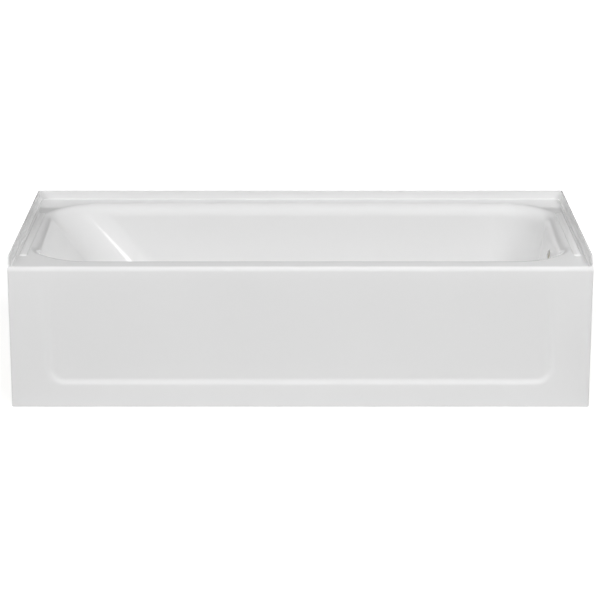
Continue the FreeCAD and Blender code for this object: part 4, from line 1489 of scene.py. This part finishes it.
@dataclass
class Underframe:
    """Timber, board and steel under the skin, with eased edges and their screws."""

    finishes: Finishes
    solids: dict[str, bpy.types.Object]
    timber_edge: float = 0.0018
    board_edge: float = 0.0010
    steel_edge: float = 0.0005
    screw_head: float = 0.0042
    screw_washer: float = 0.0062
    screw_height: float = 0.0042
    screw_gauge: float = 0.009
    bracket_wall: float = 0.0025
    bracket_rows: tuple[float, ...] = (0.018, 0.031)
    bar_rows: tuple[float, ...] = (-0.156, -0.052, 0.060, 0.164)

    def softened(self, node: str, edge: float, slot: Slot,
                 material: bpy.types.Material) -> bpy.types.Object:
        """A copy of a solid with its edges eased.

        Args:
            node: The solid.
            edge: The radius of its edges.
            slot: Its material slot.
            material: Its material.

        Returns:
            The finished piece.
        """
        work = bmesh.new()
        work.from_mesh(self.solids[node].data)
        bmesh.ops.remove_doubles(work, verts=work.verts, dist=1e-6)
        bmesh.ops.dissolve_limit(work, angle_limit=math.radians(0.5), verts=work.verts,
                                 edges=work.edges)
        sharp = [e for e in work.edges if e.calc_face_angle(0.0) > math.radians(40.0)]
        bmesh.ops.bevel(work, geom=sharp, offset=edge, segments=2, affect="EDGES",
                        profile=0.5, clamp_overlap=True)
        mesh = bpy.data.meshes.new(node)
        work.to_mesh(mesh)
        work.free()
        return finish_piece(new_object(f"{node}_eased", mesh, material, 50.0), TUB, slot, node)

    def timbers(self) -> None:
        """Battens, rail and ribs."""
        grains = {"apron_rail": Grain.ALONG_X, "deck_batten_front": Grain.ALONG_X,
                  "deck_batten_back": Grain.ALONG_X, "deck_batten_head": Grain.ALONG_Y,
                  "deck_batten_drain": Grain.ALONG_Y, "apron_rib_1": Grain.ALONG_Z,
                  "apron_rib_2": Grain.ALONG_Z, "apron_rib_3": Grain.ALONG_Z}
        for node, grain in grains.items():
            self.softened(node, self.timber_edge, Slot.SOFTWOOD, self.finishes.timber[grain])

    def steel(self) -> None:
        """Leg bars and brackets."""
        for end in ENDS:
            for node in (f"leg_bar_{end}", f"apron_bracket_{end}"):
                self.softened(node, self.steel_edge, Slot.GALVANISED, self.finishes.galvanised)

    def _screw(self) -> bpy.types.Mesh:
        """A hexagon head on its washer, standing on the XY plane.

        Returns:
            The screw's mesh.
        """
        side = math.radians(60.0)
        across = self.screw_head * math.cos(side / 2)
        brim = 0.0009

        def flats(angle: float, r: float, z: float) -> float:
            """The hexagon's radius above the washer."""
            if z <= brim or r < across:
                return r
            turn = (angle + side / 2) % side - side / 2
            return across / math.cos(turn)

        top = self.screw_height
        profile = [(0.0, -0.0004), (self.screw_washer * 0.97, -0.0004),
                   (self.screw_washer, 0.0002), (self.screw_washer * 0.96, brim),
                   (self.screw_head, brim * 1.15), (self.screw_head, top - 0.0005),
                   (across * 0.97, top), (across * 0.5, top), (0.0, top - 0.0003)]
        return turned(profile, 24, flats).mesh("screw_head")

    def screws(self) -> bpy.types.Object:
        """Screws of the brackets and the leg bars.

        Returns:
            The finished piece, with every screw.
        """
        places: list[tuple[Point, Point]] = []
        for end in ENDS:
            low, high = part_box(f"apron_bracket_{end}")
            middle = (low.x + high.x) / 2
            for side in (-self.screw_gauge, self.screw_gauge):
                for up in self.bracket_rows:
                    places.append(((middle + side, low.y + self.bracket_wall, up),
                                   (0.0, 1.0, 0.0)))
                places.append(((middle + side, high.y - self.screw_gauge, high.z),
                               (0.0, 0.0, 1.0)))
            low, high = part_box(f"leg_bar_{end}")
            for y in self.bar_rows:
                places.append(((middle, y, high.z - 0.002), (0.0, 0.0, -1.0)))
        start = bpy.data.meshes.new("screw_places")
        start.from_pydata([place for place, _ in places], [], [])
        facing = start.attributes.new("facing", "FLOAT_VECTOR", "POINT")
        facing.data.foreach_set("vector", [c for _, way in places for c in way])
        head = placed("screw_head", self._screw())
        tree = ShapeTree("frame_screws", {"Head": ("Object", head), "Size": ("Float", 1.0)})
        shape = tree.add("GeometryNodeObjectInfo", "Geometry", Object=tree.given("Head"))
        facing_value = tree.add("GeometryNodeInputNamedAttribute", 0, data_type="FLOAT_VECTOR",
                                Name="facing")
        turn = tree.add("FunctionNodeAlignRotationToVector", axis="Z", Vector=facing_value)
        spread = tree.add("GeometryNodeInstanceOnPoints", Points=tree.given(), Instance=shape,
                          Rotation=turn, Scale=tree.given("Size"))
        tree.end(spread, self.finishes.thread)
        mesh = tree.run(start)
        bpy.data.objects.remove(head)
        item = new_object("frame_screws", mesh, self.finishes.thread)
        return finish_piece(item, TUB, Slot.THREAD)

    def build(self) -> None:
        """Make every piece of the underframe."""
        self.timbers()
        self.softened("base_board", self.board_edge, Slot.BOARD, self.finishes.board)
        self.steel()
        self.screws()


@dataclass
class LevellingFoot:
    """A threaded stud in a moulded pad, with its two lock nuts on the leg bar."""

    corner: str
    finishes: Finishes
    pitch: float = 0.0015
    thread_radius: float = 0.005
    thread_depth: float = 0.00075
    nut_flats: float = 0.017
    bore: float = 0.00505
    rib_count: int = 8

    def stud(self) -> bpy.types.Object:
        """The stud, its thread wound by a geometry tree.

        Returns:
            The finished piece.
        """
        low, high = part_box(f"foot_stud_{self.corner}")
        length = high.z - low.z
        core = self.thread_radius - self.thread_depth
        bevel = 0.0011
        blank = turned([(0.0, 0.0), (core, 0.0), (core + 0.00003, length - bevel),
                        (core - bevel * 0.8, length), (0.0, length)], 40).mesh("stud_core")
        tree = ShapeTree("stud_thread", {
            "Pitch": ("Float", self.pitch), "Length": ("Float", length - 2 * bevel),
            "Radius": ("Float", core), "Depth": ("Float", self.thread_depth)})
        spiral = tree.add("GeometryNodeCurveSpiral", Resolution=22,
                          Rotations=tree.math("DIVIDE", tree.given("Length"),
                                              tree.given("Pitch")),
                          Start_Radius=tree.given("Radius"), End_Radius=tree.given("Radius"),
                          Height=tree.given("Length"))
        upright = tree.add("GeometryNodeSetCurveNormal", mode="Z_UP", Curve=spiral)
        ridge = tree.add("GeometryNodeCurvePrimitiveCircle", Resolution=4,
                         Radius=tree.given("Depth"))
        thread = tree.add("GeometryNodeCurveToMesh", Curve=upright, Profile_Curve=ridge,
                          Fill_Caps=True)
        raised = tree.add("GeometryNodeTransform", Geometry=thread,
                          Translation=(0.0, 0.0, 0.0009))
        tree.end(tree.join(tree.given(), raised), self.finishes.thread)
        mesh = tree.run(blank)
        middle = (low + high) / 2
        item = new_object(f"stud_{self.corner}", moved(mesh, middle.x, middle.y, low.z),
                          self.finishes.thread, 30.0)
        return finish_piece(item, f"foot_{self.corner}", Slot.THREAD,
                            f"foot_stud_{self.corner}")

    def _nut(self, z: float, height: float) -> Surface:
        """One chamfered hexagon nut.

        Args:
            z: The height of its foot.
            height: How tall it is.

        Returns:
            Its closed surface.
        """
        flat = self.nut_flats / 2
        brim = flat * 0.965

        def corner(angle: float, r: float, _: float) -> float:
            """The hexagon's radius at an angle, where it isn't the round brim."""
            if r < flat:
                return r
            turn = angle % math.radians(60.0) - math.radians(30.0)
            return flat / math.cos(turn)

        def chamfer(angle: float, r: float, at: float) -> float:
            """The height of the hexagon's edge, cut by the cone of the chamfer."""
            if r < flat:
                return z + at
            drop = (corner(angle, r, at) - brim) * math.tan(math.radians(30.0))
            return z + (drop if at < height / 2 else height - drop)

        lead = 0.0009
        profile = [(self.bore, lead), (self.bore + lead, 0.0), (brim, 0.0), (flat, 0.0),
                   (flat, height), (brim, height), (self.bore + lead, height),
                   (self.bore, height - lead)]
        return turned(profile, 60, corner, chamfer)

    def nuts(self) -> bpy.types.Object:
        """The two nuts, above and below the bar's web.

        Returns:
            The finished piece.
        """
        low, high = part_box(f"lock_nuts_{self.corner}")
        height = 0.008
        both = Surface()
        for z in (low.z, high.z - height):
            nut = self._nut(z, height)
            base = len(both.points)
            both.points += nut.points
            both.faces += [tuple(v + base for v in face) for face in nut.faces]
        middle = (low + high) / 2
        mesh = moved(both.mesh("lock_nuts"), middle.x, middle.y, 0.0)
        item = new_object(f"nuts_{self.corner}", mesh, self.finishes.thread, 25.0)
        return finish_piece(item, TUB, Slot.THREAD, f"lock_nuts_{self.corner}")

    def _gusset(self) -> bpy.types.Mesh:
        """One rib between the pad's plate and its socket, leaning on both.

        Returns:
            The rib's mesh.
        """
        sheet = Surface()
        outline = [(0.0095, 0.004), (0.0212, 0.0035), (0.0206, 0.0056), (0.0125, 0.0135),
                   (0.0112, 0.0148), (0.0095, 0.0148)]
        front = sheet.add((r, -0.0009, z) for r, z in outline)
        back = sheet.add((r, 0.0009, z) for r, z in outline)
        sheet.faces += [tuple(front), tuple(reversed(back))]
        sheet.strip(back, front, True)
        work = bmesh.new()
        mesh = sheet.mesh("gusset")
        work.from_mesh(mesh)
        bmesh.ops.recalc_face_normals(work, faces=work.faces)
        bmesh.ops.bevel(work, geom=work.edges, offset=0.0003, segments=1, affect="EDGES",
                        clamp_overlap=True)
        work.to_mesh(mesh)
        work.free()
        return mesh

    def pad(self) -> bpy.types.Object:
        """The moulded pad, with ribs round its socket.

        Returns:
            The finished piece.
        """
        low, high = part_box(f"foot_pad_{self.corner}")
        outline = [(0.0, 0.0016), (0.006, 0.0016), (0.0066, 0.0006), (0.0185, 0.0006),
                   (0.0191, 0.0), (0.0230, 0.0), (0.0238, 0.0006), (0.0239, 0.0014),
                   (0.0233, 0.0034), (0.0226, 0.0042), (0.0215, 0.0046), (0.0150, 0.0058),
                   (0.0125, 0.0069), (0.0112, 0.0085), (0.0105, 0.0105), (0.0104, 0.0160),
                   (0.0101, 0.0167), (0.0095, 0.0170), (0.0061, 0.0170), (0.00545, 0.0167),
                   (0.00525, 0.0160), (0.0052, 0.0080), (0.0, 0.0080)]
        blank = turned(outline, 64).mesh("pad")
        gusset = placed("gusset", self._gusset())
        tree = ShapeTree("pad_ribs", {"Rib": ("Object", gusset),
                                      "Count": ("Int", self.rib_count)})
        rib = tree.add("GeometryNodeObjectInfo", "Geometry", Object=tree.given("Rib"))
        points = tree.add("GeometryNodePoints", Count=tree.given("Count"))
        index = tree.add("GeometryNodeInputIndex")
        share = tree.math("DIVIDE", tree.math("MULTIPLY", index, 2 * math.pi),
                          tree.given("Count"))
        turn = tree.add("ShaderNodeCombineXYZ", Z=share)
        round_it = tree.add("GeometryNodeInstanceOnPoints", Points=points, Instance=rib,
                            Rotation=turn)
        tree.end(tree.join(tree.given(), round_it), self.finishes.polymer)
        mesh = tree.run(blank)
        bpy.data.objects.remove(gusset)
        middle = (low + high) / 2
        item = new_object(f"pad_{self.corner}", moved(mesh, middle.x, middle.y, low.z),
                          self.finishes.polymer, 35.0)
        return finish_piece(item, f"foot_{self.corner}", Slot.POLYMER,
                            f"foot_pad_{self.corner}")

    def build(self) -> None:
        """Make the stud, the nuts and the pad."""
        self.stud()
        self.nuts()
        self.pad()


# ---------------------------------------------------------------- studio


@dataclass(frozen=True)
class Lamp:
    """A soft rectangular lamp, which polished faces mirror or not."""

    name: str
    place: Point
    target: Point
    size: tuple[float, float]
    power: float
    mirrored: bool = False

    def hang(self) -> None:
        """Hang the lamp up, pointed at its target."""
        data = bpy.data.lights.new(self.name, "AREA")
        data.shape = "RECTANGLE"
        data.size, data.size_y = self.size
        data.energy = self.power
        item = placed(self.name, data)
        item.location = self.place
        item.visible_glossy = self.mirrored
        direction = Vector(self.target) - Vector(self.place)
        item.rotation_euler = direction.to_track_quat("-Z", "Y").to_euler()


@dataclass
class Studio:
    """Camera, lamps, floor and white surroundings."""

    eye: Point = (-0.001, -6.1658, 1.9548)
    pitch: float = 16.024
    lens: float = 138.6
    sensor: float = 36.0
    ambient: float = 0.12
    floor_half: float = 60.0
    floor_drop: float = 0.0005
    dark: float = 0.03
    pale: float = 0.7
    card_fade: tuple[float, float] = (1.2, 1.45)
    back_card: tuple[float, float, float, float] = (1.4, 3.6, 0.3, 2.6)
    side_card: tuple[float, float, float, float, float] = (2.9, -1.3, 1.6, 0.4, 2.4)
    lamps: tuple[Lamp, ...] = (
        Lamp("right_box", (2.3, -1.5, 2.6), (-0.55, 0.27, 0.28), (1.2, 1.0), 27.0),
        Lamp("right_glint", (2.26, -1.56, 2.46), (-0.55, 0.27, 0.28), (0.75, 0.6), 11.0, True),
        Lamp("left_spot", (-2.5, -3.7, 1.5), (0.3, 0.1, 0.3), (0.5, 0.35), 2.4, True),
        Lamp("top_box", (0.0, -0.4, 4.4), (0.0, 0.0, 0.0), (5.0, 3.0), 5.0),
        Lamp("front_box", (0.0, -1.6, 3.2), (0.1, 0.05, 0.2), (2.2, 1.2), 43.0),
        Lamp("left_box", (-3.0, -2.0, 2.6), (0.1, 0.05, 0.2), (1.6, 1.6), 50.0))

    def camera(self) -> None:
        """Put the camera at the photograph's angle."""
        data = bpy.data.cameras.new("camera")
        data.lens = self.lens
        data.sensor_width = self.sensor
        item = placed("camera", data)
        item.location = self.eye
        item.rotation_euler = (math.radians(90.0 - self.pitch), 0.0, 0.0)
        bpy.context.scene.camera = item

    @staticmethod
    def _seen(tree: NodeTree) -> bpy.types.NodeSocket:
        """One for camera, glossy and transmission rays, nought for the rays that light things."""
        seen = tree.add("ShaderNodeLightPath", "Is Camera Ray")
        for kind in ("Is Glossy Ray", "Is Transmission Ray"):
            seen = tree.math("MAXIMUM", seen, tree.add("ShaderNodeLightPath", kind))
        return seen

    def world(self) -> None:
        """White to the camera and in reflections, softer as light on the tub."""
        world = bpy.data.worlds.new("studio")
        bpy.context.scene.world = world
        world.use_nodes = True
        world.node_tree.nodes.clear()
        tree = NodeTree(world.node_tree)
        soft, white = (tree.add("ShaderNodeBackground", "Background", Color=WHITE,
                                Strength=strength) for strength in (self.ambient, 1.0))
        mixed = tree.add("ShaderNodeMixShader", "Shader", Fac=self._seen(tree))
        for socket, value in zip(mixed.node.inputs[1:3], (soft, white)):
            tree.join_up(value, socket)
        output = world.node_tree.nodes.new("ShaderNodeOutputWorld")
        tree.join_up(mixed, output.inputs["Surface"])

    def floor(self) -> None:
        """A pale floor that keeps a soft shadow under the tub and turns white round it."""
        tree = ShaderTree("pale_floor")
        reach = tree.add("ShaderNodeVectorMath", "Value", operation="LENGTH",
                         Vector=tree.coordinates)
        glow = tree.add("ShaderNodeMapRange", "Result", Value=reach, From_Min=1.3,
                        From_Max=2.0, To_Min=0.62, To_Max=1.0)
        tree.set(Base_Color=(0.8, 0.8, 0.8, 1.0), Roughness=0.9, Emission_Color=WHITE,
                 Emission_Strength=tree.math("MULTIPLY", self._seen(tree), glow))
        half, level = self.floor_half, -self.floor_drop
        corners = [(-half, -half, level), (half, -half, level), (half, half, level),
                   (-half, half, level)]
        mesh = Surface(corners, [(0, 1, 2, 3)]).mesh("floor")
        new_object("floor", mesh, tree.material)

    def _card(self, name: str, corners: Sequence[Point], high: float, mirrored: bool) -> None:
        """Hang a card out of the picture, dark at its foot.

        Args:
            name: Its name.
            corners: Its four corners.
            high: How pale it is at its top.
            mirrored: Whether it is seen in polished faces alone, or else only keeps light
                off the tub.
        """
        tree = ShaderTree(name)
        height = tree.add("ShaderNodeSeparateXYZ", "Z", Vector=tree.coordinates)
        start, end = self.card_fade
        place = tree.add("ShaderNodeMapRange", "Result", Value=height, From_Min=start,
                         From_Max=end)
        stops = ((0.0, (self.dark,) * 3), (1.0, (high,) * 3))
        tree.set(Roughness=0.9, Base_Color=tree.ramp(place, stops))
        item = new_object(name, Surface(list(corners), [(0, 1, 2, 3)]).mesh(name),
                          tree.material)
        item.visible_camera = False
        item.visible_diffuse = item.visible_shadow = not mirrored
        item.visible_glossy = mirrored

    def cards(self) -> None:
        """A card behind the tub that its deck mirrors, and dark ones at its sides."""
        half, far, low, high = self.back_card
        self._card("back_card", [(-half, far, low), (half, far, low), (half, far, high),
                                 (-half, far, high)], self.pale, True)
        away, front, back, low, high = self.side_card
        for name, x in (("left_card", -away), ("right_card", away)):
            self._card(name, [(x, front, low), (x, back, low), (x, back, high),
                              (x, front, high)], self.dark, False)

    def build(self) -> None:
        """Set the whole studio up."""
        bpy.context.scene.view_settings.view_transform = "Standard"
        self.world()
        self.floor()
        self.cards()
        for lamp in self.lamps:
            lamp.hang()


def main() -> None:
    """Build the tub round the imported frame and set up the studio."""
    logging.basicConfig(level=logging.INFO, format="%(name)s: %(message)s")
    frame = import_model()
    studio = Studio()
    studio.camera()
    finishes = Finishes()
    skin = BathSkin()
    skin.make(finishes.acrylic)
    skin.lay_ups(finishes.glass_fibre)
    DeckStrips().make(finishes.acrylic)
    Underframe(finishes, frame["nodes"]).build()
    for end in ENDS:
        for side in ("front", "back"):
            LevellingFoot(f"{end}_{side}", finishes).build()
    studio.build()


if __name__ == "__main__":
    main()
